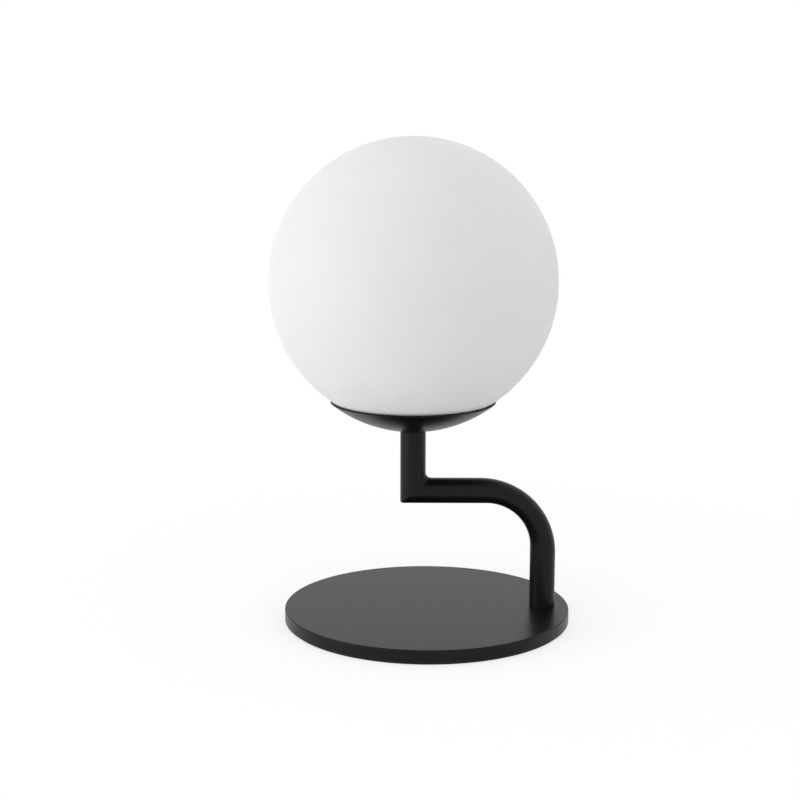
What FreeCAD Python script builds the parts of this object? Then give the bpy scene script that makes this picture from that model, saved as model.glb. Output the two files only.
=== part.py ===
import FreeCAD
import Part
import math
import os

# Glass globe table lamp.
# Frame: origin at the centre of the underside, +Z up, +X from the globe towards the post.
# All sizes are in millimetres.

# ---------------------------------------------------------------- base
base_diameter = 112.5
base_thickness = 5.0
base_edge_round = 0.5        # rounded top edge of the plate
base_foot_round = 0.3        # broken bottom edge of the plate
pad_thickness = 0.7
pad_inset = 1.0              # how far the pad stays inside the plate's rim
channel_width = 7.0          # wire channel milled in the underside
channel_web = 1.4            # steel left above the channel
weld_leg = 1.0
grommet_length = 5.0
grommet_recess = 0.4         # how far the grommet stays behind the rim
cord_oval_width = 5.4
cord_oval_height = 2.6

# ---------------------------------------------------------------- tube frame
tube_diameter = 10.0
tube_wall = 1.5
foot_margin = 10.5           # post axis to the base's rim
globe_offset = 5.6           # base centre to globe axis, the other way
arm_height = 52.6            # underside of the pad to the axis of the level arm
bend_radius = 23.7           # at the tube's axis
riser_length = 24.0          # arm axis to the top of the riser
corner_weld_radius = 2.3     # hollow weld in the inner corner of the mitre
corner_round = 1.0           # ground-off tip of the mitre

# ---------------------------------------------------------------- cup
ring_height = 0.9
ring_flare = 1.2             # how much wider the ring is at the cup than at the riser
ring_edge = 0.2              # upright edge of the ring at the cup
cup_wall = 0.8
cup_floor_margin = 2.5       # flat middle of the cup beyond the tube
cup_height = 10.9            # flat middle to rim
cup_lip_height = 0.3         # upright band below the rim
rim_gap = 0.5                # shadow gap between the cup's lip and the glass

# ---------------------------------------------------------------- globe
globe_diameter = 111.5
globe_wall = 2.0
mouth_radius = 18.0          # bore of the globe's mouth
mouth_land = 3.9             # width of the ground face round the mouth
mouth_rise = 5.18            # cup's floor to the ground face of the mouth
gasket_thickness = 0.8

# ---------------------------------------------------------------- carrier and fasteners
carrier_thickness = 0.6
collar_height = 8.0
collar_gap = 0.8             # collar to the bore of the mouth
spring_width = 7.0
spring_thickness = 0.3
spring_count = 3
thread_depth = 0.5           # how far the nipple's thread bites into the tube wall
nipple_engagement = 10.0
washer_thickness = 0.5
washer_rim = 2.3             # nipple to the washer's edge
nut_height = 3.0
nut_rim = 2.0                # nipple to the nut's flats

# ---------------------------------------------------------------- wiring
lead_diameter = 1.8
lead_gap = 0.8               # between the two wires
wire_clearance = 0.3         # round the pair in the nipple
splice_diameter = 2.5
splice_length = 12.0
splice_start = 16.0          # base centre to the near end of the splices
corner_wire_radius = 4.0     # inner wire's turn in the channel
foot_wire_radius = 3.0       # turn from the channel up into the post
mitre_wire_radius = 6.5      # turn at the mitred corner
splay_height = 6.0           # nipple to lampholder
splay_run = 1.4              # straight part at each end of that stretch
splay_turn_share = 0.9       # how much of each straight part its turn takes up
sleeve_wall = 0.35

# ---------------------------------------------------------------- lampholder
bracket_gap = 2.0            # nut to stirrup
bracket_thickness = 1.2
bracket_rim = 2.0            # nipple to the stirrup's long edges
nipple_proud = 0.5           # nipple above the stirrup
socket_length = 20.0         # across the two contacts
socket_width = 12.0
socket_height = 15.0
socket_corner = 1.5
pin_spacing = 9.0
contact_leaf = 0.4
contact_length = 3.6
contact_height = 11.0
pocket_depth = 13.0
screw_diameter = 2.9
screw_bite = 2.0
screw_head_diameter = 5.4
screw_head_height = 1.6
screw_drop = 6.0             # lampholder's top to the screws

# ---------------------------------------------------------------- bulb
bulb_seat_gap = 0.3
bulb_foot_length = 15.0
bulb_foot_width = 9.0
bulb_foot_height = 6.0
bulb_collar_height = 5.0
bulb_collar_radius = 8.4
bulb_radius = 8.0
bulb_height = 34.0           # collar to the top of the dome
bulb_wall = 0.8
pin_length = 12.0
pin_width = 2.6
pin_thickness = 0.8
board_width = 6.0
board_thickness = 1.0
chip_size = 1.8
chip_thickness = 0.5
chip_rows = 7
chip_pitch = 3.2

# ---------------------------------------------------------------- clearances
slip_fit = 0.05              # round pieces in their bores
seat_fit = 0.1               # pressed and stacked pieces
running_gap = 0.3            # between pieces that move apart

# ---------------------------------------------------------------- mitred corner
inner_seam_share = 0.3       # the weld starts this share of the tube's width from the middle
outer_seam_share = 0.5       # and the rounding of the tip does on the other side

# ---------------------------------------------------------------- worked out from the above
base_radius = base_diameter / 2
foot_offset = base_radius - foot_margin
plate_top = pad_thickness + base_thickness
channel_top = plate_top - channel_web
channel_height = channel_top - pad_thickness
wire_level = pad_thickness + channel_height / 2

tube_radius = tube_diameter / 2
bore_radius = tube_radius - tube_wall
stem_x = -globe_offset
riser_top = arm_height + riser_length

lead_radius = lead_diameter / 2
lead_offset = (lead_diameter + lead_gap) / 2
nipple_radius = bore_radius + thread_depth
nipple_bore = lead_offset + lead_radius + wire_clearance
washer_radius = nipple_radius + washer_rim
nut_across_flats = 2 * (nipple_radius + nut_rim)
bracket_width = 2 * (nipple_radius + bracket_rim)

cup_floor_radius = tube_radius + cup_floor_margin
cup_bottom = riser_top + ring_height
cup_floor = cup_bottom + cup_wall
cup_rim = cup_bottom + cup_height
lip_start = cup_rim - cup_lip_height

globe_radius = globe_diameter / 2
glass_inner_radius = globe_radius - globe_wall
land_radius = mouth_radius + mouth_land
mouth_level = cup_floor + mouth_rise
globe_centre = mouth_level + math.sqrt(globe_radius**2 - land_radius**2)
rim_inner_radius = math.sqrt(globe_radius**2 - (globe_centre - cup_rim)**2) + rim_gap
rim_radius = rim_inner_radius + cup_wall

# The bowl is a sphere through the edge of the flat middle and the foot of the lip.
bowl_depth = lip_start - cup_bottom
bowl_centre_rise = (rim_radius**2 + bowl_depth**2 - cup_floor_radius**2) / (2 * bowl_depth)
bowl_radius = math.hypot(cup_floor_radius, bowl_centre_rise)
bowl_centre = cup_bottom + bowl_centre_rise
bowl_inner_radius = bowl_radius - cup_wall

gasket_bottom = mouth_level - running_gap - gasket_thickness
flange_bottom = gasket_bottom - carrier_thickness
flange_reach = math.sqrt(bowl_inner_radius**2 - (bowl_centre - flange_bottom)**2)
flange_radius = flange_reach - seat_fit
collar_radius = mouth_radius - collar_gap
collar_inner = collar_radius - carrier_thickness
collar_top = gasket_bottom + collar_height
carrier_floor_radius = cup_floor_radius - cup_wall

washer_bottom = cup_floor + carrier_thickness
nut_bottom = washer_bottom + washer_thickness
nut_top = nut_bottom + nut_height
bracket_bottom = nut_top + bracket_gap
bracket_top = bracket_bottom + bracket_thickness
nipple_top = bracket_top + nipple_proud
nipple_bottom = riser_top - nipple_engagement
socket_bottom = nipple_top + splay_height
socket_top = socket_bottom + socket_height
screw_level = socket_top - screw_drop
pin_offset = pin_spacing / 2
splay_turn = math.atan2(pin_offset - lead_offset, splay_height - 2 * splay_run)
splay_wire_radius = splay_turn_share * splay_run / math.tan(splay_turn / 2)
contact_top = socket_top - (pocket_depth - contact_height)
contact_bottom = contact_top - contact_height

bulb_bottom = socket_top + bulb_seat_gap
bulb_collar_bottom = bulb_bottom + bulb_foot_height
bulb_collar_top = bulb_collar_bottom + bulb_collar_height
bulb_top = bulb_collar_top + bulb_height


# ================================================================ shape helpers
def vec(x, y, z):
    return FreeCAD.Vector(x, y, z)


def tube(outer, inner, bottom, top, x=0.0, y=0.0):
    """Upright round tube between two levels."""
    height = top - bottom
    shell = Part.makeCylinder(outer, height, vec(x, y, bottom))
    return shell.cut(Part.makeCylinder(inner, height, vec(x, y, bottom)))


def block(x_range, y_range, z_range):
    """Box between two levels on each axis."""
    size = [high - low for low, high in (x_range, y_range, z_range)]
    return Part.makeBox(size[0], size[1], size[2], vec(x_range[0], y_range[0], z_range[0]))


def around(centre, width):
    """Range of the given width about a centre."""
    return (centre - width / 2, centre + width / 2)


def lathe(edges, x=0.0, angle=360.0):
    """Closed outline of (radius, level) edges turned about the upright axis at x."""
    face = Part.Face(Part.Wire(edges))
    turned = face.revolve(vec(0, 0, 0), vec(0, 0, 1), angle)
    turned.translate(vec(x, 0, 0))
    return turned


def lines(points):
    """Straight edges through (radius, level) points, left open."""
    ends = zip(points[:-1], points[1:])
    return [Part.makeLine(vec(a[0], 0, a[1]), vec(b[0], 0, b[1])) for a, b in ends]


def arc(centre_level, radius, start, end):
    """Arc about a point of the axis, from one (radius, level) point to another."""
    middle = (math.atan2(start[1] - centre_level, start[0])
              + math.atan2(end[1] - centre_level, end[0])) / 2
    way = vec(radius * math.cos(middle), 0, centre_level + radius * math.sin(middle))
    return Part.Arc(vec(start[0], 0, start[1]), way, vec(end[0], 0, end[1])).toShape()


def circle_level(centre_level, radius, reach):
    """Level of the lower half of a circle about the axis, at a reach from the axis."""
    return centre_level - math.sqrt(radius**2 - reach**2)


def rounded_path(points, radii):
    """Straight runs through points, joined by tangent arcs of the given radii."""
    edges = []
    here = points[0]
    for corner, after, radius in zip(points[1:-1], points[2:], radii):
        back = (here - corner).normalize()
        ahead = (after - corner).normalize()
        half_turn = (math.pi - back.getAngle(ahead)) / 2
        set_back = radius * math.tan(half_turn)
        start = corner + back * set_back
        end = corner + ahead * set_back
        inward = (back + ahead).normalize()
        middle = corner + inward * (radius / math.cos(half_turn) - radius)
        edges.append(Part.makeLine(here, start))
        edges.append(Part.Arc(start, middle, end).toShape())
        here = end
    edges.append(Part.makeLine(here, points[-1]))
    return Part.Wire(edges)


def along(path, radius):
    """Round rod along a path."""
    first = path.Edges[0]
    start = first.valueAt(first.FirstParameter)
    direction = first.tangentAt(first.FirstParameter)
    circle = Part.Wire(Part.makeCircle(radius, start, direction))
    return path.makePipeShell([circle], True, True)


def prism(points, half_width):
    """Outline of (x, z) points in the frame's middle plane, widened both ways along Y."""
    corners = [vec(x, -half_width, z) for x, z in points]
    face = Part.Face(Part.makePolygon(corners + corners[:1]))
    return face.extrude(vec(0, 2 * half_width, 0))


def hexagon(across_flats, bottom, height, x):
    """Upright hexagonal bar."""
    reach = across_flats / math.sqrt(3)
    angles = [math.radians(60 * i) for i in range(6)]
    corners = [vec(x + reach * math.cos(a), reach * math.sin(a), bottom) for a in angles]
    face = Part.Face(Part.makePolygon(corners + corners[:1]))
    return face.extrude(vec(0, 0, height))


def group(shapes):
    """Like pieces kept as separate solids."""
    return Part.makeCompound(shapes)


def mirrored(shape):
    """The same shape on the other side of the middle plane."""
    return shape.mirror(vec(0, 0, 0), vec(0, 1, 0))


# ================================================================ base
def wire_channel():
    """Channel from the post to the plate's middle and on to the rear edge."""
    half = channel_width / 2
    level = (0, channel_top)
    to_post = block((-half, foot_offset), (-half, half), level)
    to_rear = block((-half, half), (-half, base_radius + half), level)
    return to_post.fuse(to_rear)


def base_plate():
    plate = Part.makeCylinder(base_radius, base_thickness, vec(0, 0, pad_thickness))
    top_edge = [e for e in plate.Edges if e.CenterOfMass.z > plate_top - base_edge_round
                and len(e.Vertexes) == 1]
    plate = plate.makeFillet(base_edge_round, top_edge)
    foot_edge = [e for e in plate.Edges if e.CenterOfMass.z < pad_thickness + base_foot_round
                 and len(e.Vertexes) == 1]
    plate = plate.makeChamfer(base_foot_round, foot_edge)
    hole = tube_radius + slip_fit
    plate = plate.cut(Part.makeCylinder(hole, plate_top, vec(foot_offset, 0, 0)))
    plate = plate.cut(Part.makeCone(hole + weld_leg, hole, weld_leg,
                                    vec(foot_offset, 0, pad_thickness)))
    return plate.cut(wire_channel())


def base_pad():
    return Part.makeCylinder(base_radius - pad_inset, pad_thickness)


def foot_weld():
    """Ring weld in the countersink under the post, ground flush, open at the channel."""
    hole = tube_radius + slip_fit
    bead = lathe(lines([(hole, pad_thickness), (hole + weld_leg, pad_thickness),
                        (hole, pad_thickness + weld_leg), (hole, pad_thickness)]), foot_offset)
    return bead.cut(wire_channel())


def cord_grommet():
    """Rubber inlet that fills the rear end of the channel, with an oval hole."""
    outer_end = math.sqrt(base_radius**2 - (channel_width / 2)**2) - grommet_recess
    ends = (outer_end - grommet_length, outer_end)
    body = block(around(0, channel_width - 2 * slip_fit), ends, (pad_thickness, channel_top))
    round_part = cord_oval_height / 2
    side = cord_oval_width / 2 - round_part
    hole = block((-side, side), ends, around(wire_level, cord_oval_height))
    for x in (-side, side):
        hole = hole.fuse(Part.makeCylinder(round_part, grommet_length,
                                           vec(x, ends[0], wire_level), vec(0, 1, 0)))
    return body.cut(hole)


# ================================================================ tube frame
def bent_rod(radius):
    """Rod up the post, round the bend and along the arm, past the mitred corner."""
    centre_x = foot_offset - bend_radius
    centre_z = arm_height - bend_radius
    post = Part.makeCylinder(radius, centre_z - pad_thickness, vec(foot_offset, 0, pad_thickness))
    section = Part.Face(Part.Wire(Part.makeCircle(radius, vec(foot_offset, 0, centre_z),
                                                  vec(0, 0, 1))))
    bend = section.revolve(vec(centre_x, 0, centre_z), vec(0, -1, 0), 90)
    arm_end = stem_x - tube_diameter
    arm = Part.makeCylinder(radius, centre_x - arm_end, vec(arm_end, 0, arm_height), vec(1, 0, 0))
    return post.fuse([bend, arm]).removeSplitter()


def mitre_block(side):
    """Half of the space about the mitred corner: 1 on the riser's side, -1 on the arm's."""
    reach = 4 * tube_diameter
    corner = [(stem_x - reach, arm_height - reach), (stem_x + reach, arm_height + reach),
              (stem_x - side * reach, arm_height + side * reach)]
    return prism(corner, tube_diameter)


def corner_rods():
    """Solid rods the size of the riser and the arm, where they meet at the mitre."""
    start = -tube_diameter
    length = 3 * tube_diameter
    riser = Part.makeCylinder(tube_radius, length, vec(stem_x, 0, arm_height + start))
    arm = Part.makeCylinder(tube_radius, length, vec(stem_x + start, 0, arm_height), vec(1, 0, 0))
    return riser.cut(mitre_block(-1)).fuse(arm.cut(mitre_block(1)))


def corner_slab(low, high):
    """Slanted slab across the corner; low and high are distances along the arm plus the riser."""
    wide = 4 * tube_diameter
    outline = [(stem_x + level / 2 + way * wide, arm_height + level / 2 - way * wide)
               for level, way in ((low, -1), (low, 1), (high, 1), (high, -1))]
    return prism(outline, tube_diameter)


def rounded_seam(piece, radius):
    """The piece with its mitre edges rounded, or filled where they are hollow."""
    def in_mitre(edge):
        ends = (edge.FirstParameter, edge.LastParameter)
        points = [edge.valueAt(t) for t in (ends[0], sum(ends) / 2, ends[1])]
        return all(abs(p.x - stem_x - p.z + arm_height) < slip_fit for p in points)
    seam = [e for e in piece.Edges if in_mitre(e) and e.Curve.TypeId == "Part::GeomEllipse"]
    return piece.makeFillet(radius, seam)


def corner_weld():
    """Hollow weld that fills the inner corner and thins out down both sides."""
    piece = corner_rods().common(corner_slab(inner_seam_share * tube_diameter, 4 * tube_diameter))
    return rounded_seam(piece, corner_weld_radius).cut(piece)


def corner_tip():
    """Sliver that is ground off the outer corner."""
    piece = corner_rods().common(corner_slab(-4 * tube_diameter,
                                             -outer_seam_share * tube_diameter))
    return piece.cut(rounded_seam(piece, corner_round))


def arm_tube():
    pipe = bent_rod(tube_radius).cut(bent_rod(bore_radius))
    pipe = pipe.cut(mitre_block(1)).cut(corner_tip())
    notch = block((foot_offset - tube_diameter, foot_offset),
                  around(0, channel_width), (0, channel_top))
    return pipe.cut(notch)


def riser_tube():
    low = arm_height - tube_diameter
    pipe = tube(tube_radius, bore_radius, low, riser_top, stem_x)
    pipe = pipe.cut(mitre_block(-1)).cut(corner_tip())
    return pipe.cut(Part.makeCylinder(nipple_radius + slip_fit, nipple_engagement,
                                      vec(stem_x, 0, nipple_bottom)))


# ================================================================ cup and carrier
def neck_ring():
    """Turned ring that flares in a hollow curve from the riser to the cup."""
    hole = nipple_radius + seat_fit
    flare_top = cup_bottom - ring_edge
    foot = (tube_radius, riser_top)
    edge = (tube_radius + ring_flare, flare_top)
    middle = vec(tube_radius + ring_flare * (1 - math.cos(math.pi / 4)), 0,
                 riser_top + (flare_top - riser_top) * math.sin(math.pi / 4))
    flare = Part.Arc(vec(foot[0], 0, foot[1]), middle, vec(edge[0], 0, edge[1])).toShape()
    return lathe(lines([(hole, cup_bottom), (hole, riser_top), foot]) + [flare]
                 + lines([edge, (edge[0], cup_bottom), (hole, cup_bottom)]), stem_x)


def shade_cup():
    """Spun bowl with a flat middle and an upright lip."""
    hole = nipple_radius + seat_fit
    lip_inside = circle_level(bowl_centre, bowl_inner_radius, rim_inner_radius)
    floor_edge = math.sqrt(bowl_inner_radius**2 - (bowl_centre - cup_floor)**2)
    outside = arc(bowl_centre, bowl_radius, (cup_floor_radius, cup_bottom), (rim_radius, lip_start))
    inside = arc(bowl_centre, bowl_inner_radius, (rim_inner_radius, lip_inside),
                 (floor_edge, cup_floor))
    edges = lines([(hole, cup_floor), (hole, cup_bottom), (cup_floor_radius, cup_bottom)])
    edges += [outside]
    edges += lines([(rim_radius, lip_start), (rim_radius, cup_rim), (rim_inner_radius, cup_rim),
                    (rim_inner_radius, lip_inside)])
    edges += [inside]
    edges += lines([(floor_edge, cup_floor), (hole, cup_floor)])
    return lathe(edges, stem_x)


def glass_carrier():
    """Pressed plate: flat floor, sloping wall, flange under the glass and upright collar."""
    hole = nipple_radius + seat_fit
    floor_top = cup_floor + carrier_thickness
    outline = [(hole, cup_floor), (carrier_floor_radius, cup_floor),
               (collar_radius, flange_bottom), (flange_radius, flange_bottom),
               (flange_radius, gasket_bottom), (collar_radius, gasket_bottom),
               (collar_radius, collar_top), (collar_inner, collar_top),
               (collar_inner, gasket_bottom), (carrier_floor_radius, floor_top),
               (hole, floor_top), (hole, cup_floor)]
    return lathe(lines(outline), stem_x)


def mouth_gasket():
    outer = min(land_radius, flange_radius) - running_gap
    return tube(outer, collar_radius + slip_fit, gasket_bottom,
                gasket_bottom + gasket_thickness, stem_x)


def spring_clips():
    """Bowed leaf springs on the collar, drawn pressed in as they sit in the glass."""
    low = gasket_bottom + gasket_thickness + running_gap
    high = collar_top
    foot = collar_radius + slip_fit
    bow = collar_gap - running_gap - slip_fit - spring_thickness
    middle = (low + high) / 2
    outer = Part.Arc(vec(foot + spring_thickness, 0, low),
                     vec(foot + spring_thickness + bow, 0, middle),
                     vec(foot + spring_thickness, 0, high)).toShape()
    inner = Part.Arc(vec(foot, 0, high), vec(foot + bow, 0, middle), vec(foot, 0, low)).toShape()
    sweep = math.degrees(spring_width / collar_radius)
    edges = [outer] + lines([(foot + spring_thickness, high), (foot, high)])
    edges += [inner] + lines([(foot, low), (foot + spring_thickness, low)])
    leaf = lathe(edges, 0.0, sweep)
    leaf.rotate(vec(0, 0, 0), vec(0, 0, 1), -sweep / 2)
    leaves = []
    for i in range(spring_count):
        copy = leaf.copy()
        copy.rotate(vec(0, 0, 0), vec(0, 0, 1), i * 360 / spring_count)
        copy.translate(vec(stem_x, 0, 0))
        leaves.append(copy)
    return group(leaves)


def cup_nipple():
    return tube(nipple_radius, nipple_bore, nipple_bottom, nipple_top, stem_x)


def cup_washer():
    return tube(washer_radius, nipple_radius + seat_fit, washer_bottom, nut_bottom, stem_x)


def cup_nut():
    body = hexagon(nut_across_flats, nut_bottom, nut_height, stem_x)
    return body.cut(Part.makeCylinder(nipple_radius + slip_fit, nut_height,
                                      vec(stem_x, 0, nut_bottom)))


# ================================================================ wiring
def lead_points(side):
    """Route of one wire, from its splice to its contact; side is 1 or -1 along Y."""
    offset = side * lead_offset
    splay = side * pin_offset
    return [vec(offset, splice_start + splice_length / 3, wire_level),
            vec(offset, offset, wire_level),
            vec(foot_offset, offset, wire_level),
            vec(foot_offset, offset, arm_height),
            vec(stem_x, offset, arm_height),
            vec(stem_x, offset, nipple_top + splay_run),
            vec(stem_x, splay, socket_bottom - splay_run),
            vec(stem_x, splay, contact_bottom)]


def lead(side):
    """Wire with its bends; the two turn about one point in the channel's corner."""
    corner = corner_wire_radius + lead_offset * (1 - side)
    radii = [corner, foot_wire_radius, bend_radius, mitre_wire_radius,
             splay_wire_radius, splay_wire_radius]
    return along(rounded_path(lead_points(side), radii), lead_radius)


def lead_sleeve(side):
    """Sleeve over the splayed end of a wire, from the nipple to the lampholder."""
    start = vec(stem_x, side * lead_offset, nipple_top)
    end = vec(stem_x, side * pin_offset, socket_bottom)
    turns = lead_points(side)[-3:-1]
    path = rounded_path([start] + turns + [end], [splay_wire_radius] * len(turns))
    outer = along(path, lead_radius + sleeve_wall)
    return outer.cut(along(path, lead_radius + slip_fit))


def lead_splice(side):
    """Shrunk butt splice lying in the channel, open at both ends."""
    place = vec(side * lead_offset, splice_start, wire_level)
    body = Part.makeCylinder(splice_diameter / 2, splice_length, place, vec(0, 1, 0))
    return body.cut(Part.makeCylinder(lead_radius + slip_fit, splice_length, place, vec(0, 1, 0)))


# ================================================================ lampholder
def socket_bracket():
    """Stirrup screwed on the nipple, with an upright arm on each side of the lampholder."""
    inner = socket_length / 2 + seat_fit
    outer = inner + bracket_thickness
    across = around(stem_x, bracket_width)
    arm_top = screw_level + screw_head_diameter / 2 + bracket_thickness
    stirrup = block(across, (-outer, outer), (bracket_bottom, bracket_top))
    for side in (-1, 1):
        span = sorted((side * inner, side * outer))
        stirrup = stirrup.fuse(block(across, span, (bracket_bottom, arm_top)))
    stirrup = stirrup.cut(Part.makeCylinder(nipple_radius + slip_fit, bracket_thickness,
                                            vec(stem_x, 0, bracket_bottom)))
    screw_hole = Part.makeCylinder(screw_diameter / 2 + seat_fit, 2 * outer,
                                   vec(stem_x, -outer, screw_level), vec(0, 1, 0))
    return stirrup.cut(screw_hole).removeSplitter()


def socket_body():
    """Ceramic block with two deep pockets for the contacts and a wire hole under each."""
    body = block(around(stem_x, socket_width), around(0, socket_length),
                 (socket_bottom, socket_top))
    upright = [e for e in body.Edges if abs(e.tangentAt(e.FirstParameter).z) > 0.9]
    body = body.makeFillet(socket_corner, upright)
    pocket_x = pin_thickness + 2 * (running_gap + contact_leaf + seat_fit)
    pocket_y = contact_length + 2 * seat_fit
    pocket_z = (socket_top - pocket_depth, socket_top)
    for side in (-1, 1):
        y = side * pin_offset
        body = body.cut(block(around(stem_x, pocket_x), around(y, pocket_y), pocket_z))
        body = body.cut(Part.makeCylinder(lead_radius + slip_fit, socket_height,
                                          vec(stem_x, y, socket_bottom)))
        blind = vec(stem_x, side * (socket_length / 2 - screw_bite - seat_fit), screw_level)
        body = body.cut(Part.makeCylinder(screw_diameter / 2 + slip_fit, socket_length,
                                          blind, vec(0, side, 0)))
    return body


def socket_contact(side):
    """U-shaped clip: two leaves on either side of a bulb pin, joined at the bottom."""
    inner = pin_thickness / 2 + running_gap
    outer = inner + contact_leaf
    y = around(side * pin_offset, contact_length)
    clip = block((stem_x - outer, stem_x + outer), y, (contact_bottom, contact_top))
    return clip.cut(block((stem_x - inner, stem_x + inner), y,
                          (contact_bottom + contact_leaf, contact_top)))


def socket_screw(side):
    """Pan-head screw through the stirrup's arm into the ceramic, with a cross recess."""
    seat = socket_length / 2 + seat_fit + bracket_thickness
    tip = socket_length / 2 - screw_bite
    along_y = vec(0, side, 0)
    shank = Part.makeCylinder(screw_diameter / 2, seat - tip,
                              vec(stem_x, side * tip, screw_level), along_y)
    head = Part.makeCylinder(screw_head_diameter / 2, screw_head_height,
                             vec(stem_x, side * seat, screw_level), along_y)
    rim = [e for e in head.Edges if abs(e.CenterOfMass.y) > seat + screw_head_height / 2
           and len(e.Vertexes) == 1]
    head = head.makeFillet(screw_head_height / 3, rim)
    slot_long = screw_head_diameter / 2
    slot_wide = screw_head_diameter / 7
    top = seat + screw_head_height
    depth = sorted((side * (top - screw_head_height / 2), side * top))
    for wide, tall in ((slot_long, slot_wide), (slot_wide, slot_long)):
        head = head.cut(block(around(stem_x, wide), depth, around(screw_level, tall)))
    return shank.fuse(head)


# ================================================================ bulb
def bulb_base():
    """Flat foot that stands on the lampholder, with a round collar for the dome."""
    foot = block(around(stem_x, bulb_foot_width), around(0, bulb_foot_length),
                 (bulb_bottom, bulb_collar_bottom))
    upright = [e for e in foot.Edges if abs(e.tangentAt(e.FirstParameter).z) > 0.9]
    foot = foot.makeFillet(socket_corner, upright)
    collar = Part.makeCylinder(bulb_collar_radius, bulb_collar_height,
                               vec(stem_x, 0, bulb_collar_bottom))
    recess = Part.makeCylinder(bulb_radius + slip_fit, bulb_collar_height,
                               vec(stem_x, 0, bulb_collar_top - bulb_collar_height / 2))
    slot = block(around(stem_x, board_thickness + 2 * slip_fit),
                 around(0, board_width + 2 * slip_fit),
                 (bulb_collar_bottom + bulb_collar_height / 4, bulb_collar_top))
    return foot.fuse(collar).cut(recess).cut(slot).removeSplitter()


def bulb_envelope():
    """Domed tube, closed at the top."""
    bottom = bulb_collar_top - bulb_collar_height / 2
    dome_level = bulb_top - bulb_radius
    inner = bulb_radius - bulb_wall
    outside = arc(dome_level, bulb_radius, (bulb_radius, dome_level), (0, bulb_top))
    inside = arc(dome_level, inner, (0, bulb_top - bulb_wall), (inner, dome_level))
    edges = lines([(inner, bottom), (bulb_radius, bottom), (bulb_radius, dome_level)])
    edges += [outside] + lines([(0, bulb_top), (0, bulb_top - bulb_wall)])
    edges += [inside] + lines([(inner, dome_level), (inner, bottom)])
    return lathe(edges, stem_x)


def bulb_pin(side):
    """Looped wire pin: two legs joined by a round lower end."""
    bottom = bulb_bottom - pin_length
    y = side * pin_offset
    x = around(stem_x, pin_thickness)
    end = pin_width / 2
    hollow = end - pin_thickness
    loop = block(x, around(y, pin_width), (bottom + end, bulb_bottom))
    gap = block(x, around(y, 2 * hollow), (bottom + end, bulb_bottom))
    turn = vec(x[0], y, bottom + end)
    loop = loop.fuse(Part.makeCylinder(end, pin_thickness, turn, vec(1, 0, 0)))
    gap = gap.fuse(Part.makeCylinder(hollow, pin_thickness, turn, vec(1, 0, 0)))
    return loop.cut(gap).removeSplitter()


def led_board():
    bottom = bulb_collar_bottom + bulb_collar_height / 4 + slip_fit
    top = bulb_top - bulb_radius
    return block(around(stem_x, board_thickness), around(0, board_width), (bottom, top))


def led_chips():
    """Rows of small emitters on both faces of the board."""
    first = bulb_collar_top + chip_pitch
    chips = []
    for row in range(chip_rows):
        z = around(first + row * chip_pitch, chip_size)
        for y in (-board_width / 4, board_width / 4):
            for side in (-1, 1):
                face = stem_x + side * board_thickness / 2
                x = sorted((face, face + side * chip_thickness))
                chips.append(block(x, around(y, chip_size), z))
    return group(chips)


# ================================================================ globe
def glass_globe():
    """Hollow glass ball with a ground mouth at the bottom."""
    bore_level = circle_level(globe_centre, glass_inner_radius, mouth_radius)
    outer_pole = (0, globe_centre + globe_radius)
    inner_pole = (0, globe_centre + glass_inner_radius)
    outside = arc(globe_centre, globe_radius, (land_radius, mouth_level), outer_pole)
    inside = arc(globe_centre, glass_inner_radius, inner_pole, (mouth_radius, bore_level))
    edges = [outside] + lines([outer_pole, inner_pole]) + [inside]
    edges += lines([(mouth_radius, bore_level), (mouth_radius, mouth_level),
                    (land_radius, mouth_level)])
    return lathe(edges, stem_x)


pieces = {
    "base_plate": base_plate(),
    "base_pad": base_pad(),
    "foot_weld": foot_weld(),
    "cord_grommet": cord_grommet(),
    "arm_tube": arm_tube(),
    "riser_tube": riser_tube(),
    "corner_weld": corner_weld(),
    "neck_ring": neck_ring(),
    "shade_cup": shade_cup(),
    "glass_carrier": glass_carrier(),
    "mouth_gasket": mouth_gasket(),
    "spring_clips": spring_clips(),
    "cup_nipple": cup_nipple(),
    "cup_washer": cup_washer(),
    "cup_nut": cup_nut(),
    "live_lead": lead(1),
    "neutral_lead": lead(-1),
    "lead_sleeves": group([lead_sleeve(1), lead_sleeve(-1)]),
    "lead_splices": group([lead_splice(1), lead_splice(-1)]),
    "socket_bracket": socket_bracket(),
    "socket_body": socket_body(),
    "socket_contacts": group([socket_contact(1), socket_contact(-1)]),
    "socket_screws": group([socket_screw(1), socket_screw(-1)]),
    "bulb_base": bulb_base(),
    "bulb_envelope": bulb_envelope(),
    "bulb_pins": group([bulb_pin(1), bulb_pin(-1)]),
    "led_board": led_board(),
    "led_chips": led_chips(),
    "glass_globe": glass_globe(),
}

os.makedirs("parts", exist_ok=True)
for name, shape in pieces.items():
    shape.exportStep(os.path.join("parts", name + ".step"))
    print(name, "solids", len(shape.Solids), "valid", shape.isValid(),
          "volume", round(shape.Volume, 1))

print("overall height", round(globe_centre + globe_radius, 2))
print("globe centre", round(globe_centre, 2), "cup rim radius", round(rim_radius, 2),
      "cup rim level", round(cup_rim, 2), "bowl radius", round(bowl_radius, 2))
print("bulb top", round(bulb_top, 2), "mouth level", round(mouth_level, 2))
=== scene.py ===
import math

import bmesh
import bpy
import numpy as np
from mathutils import Matrix, Vector


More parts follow.
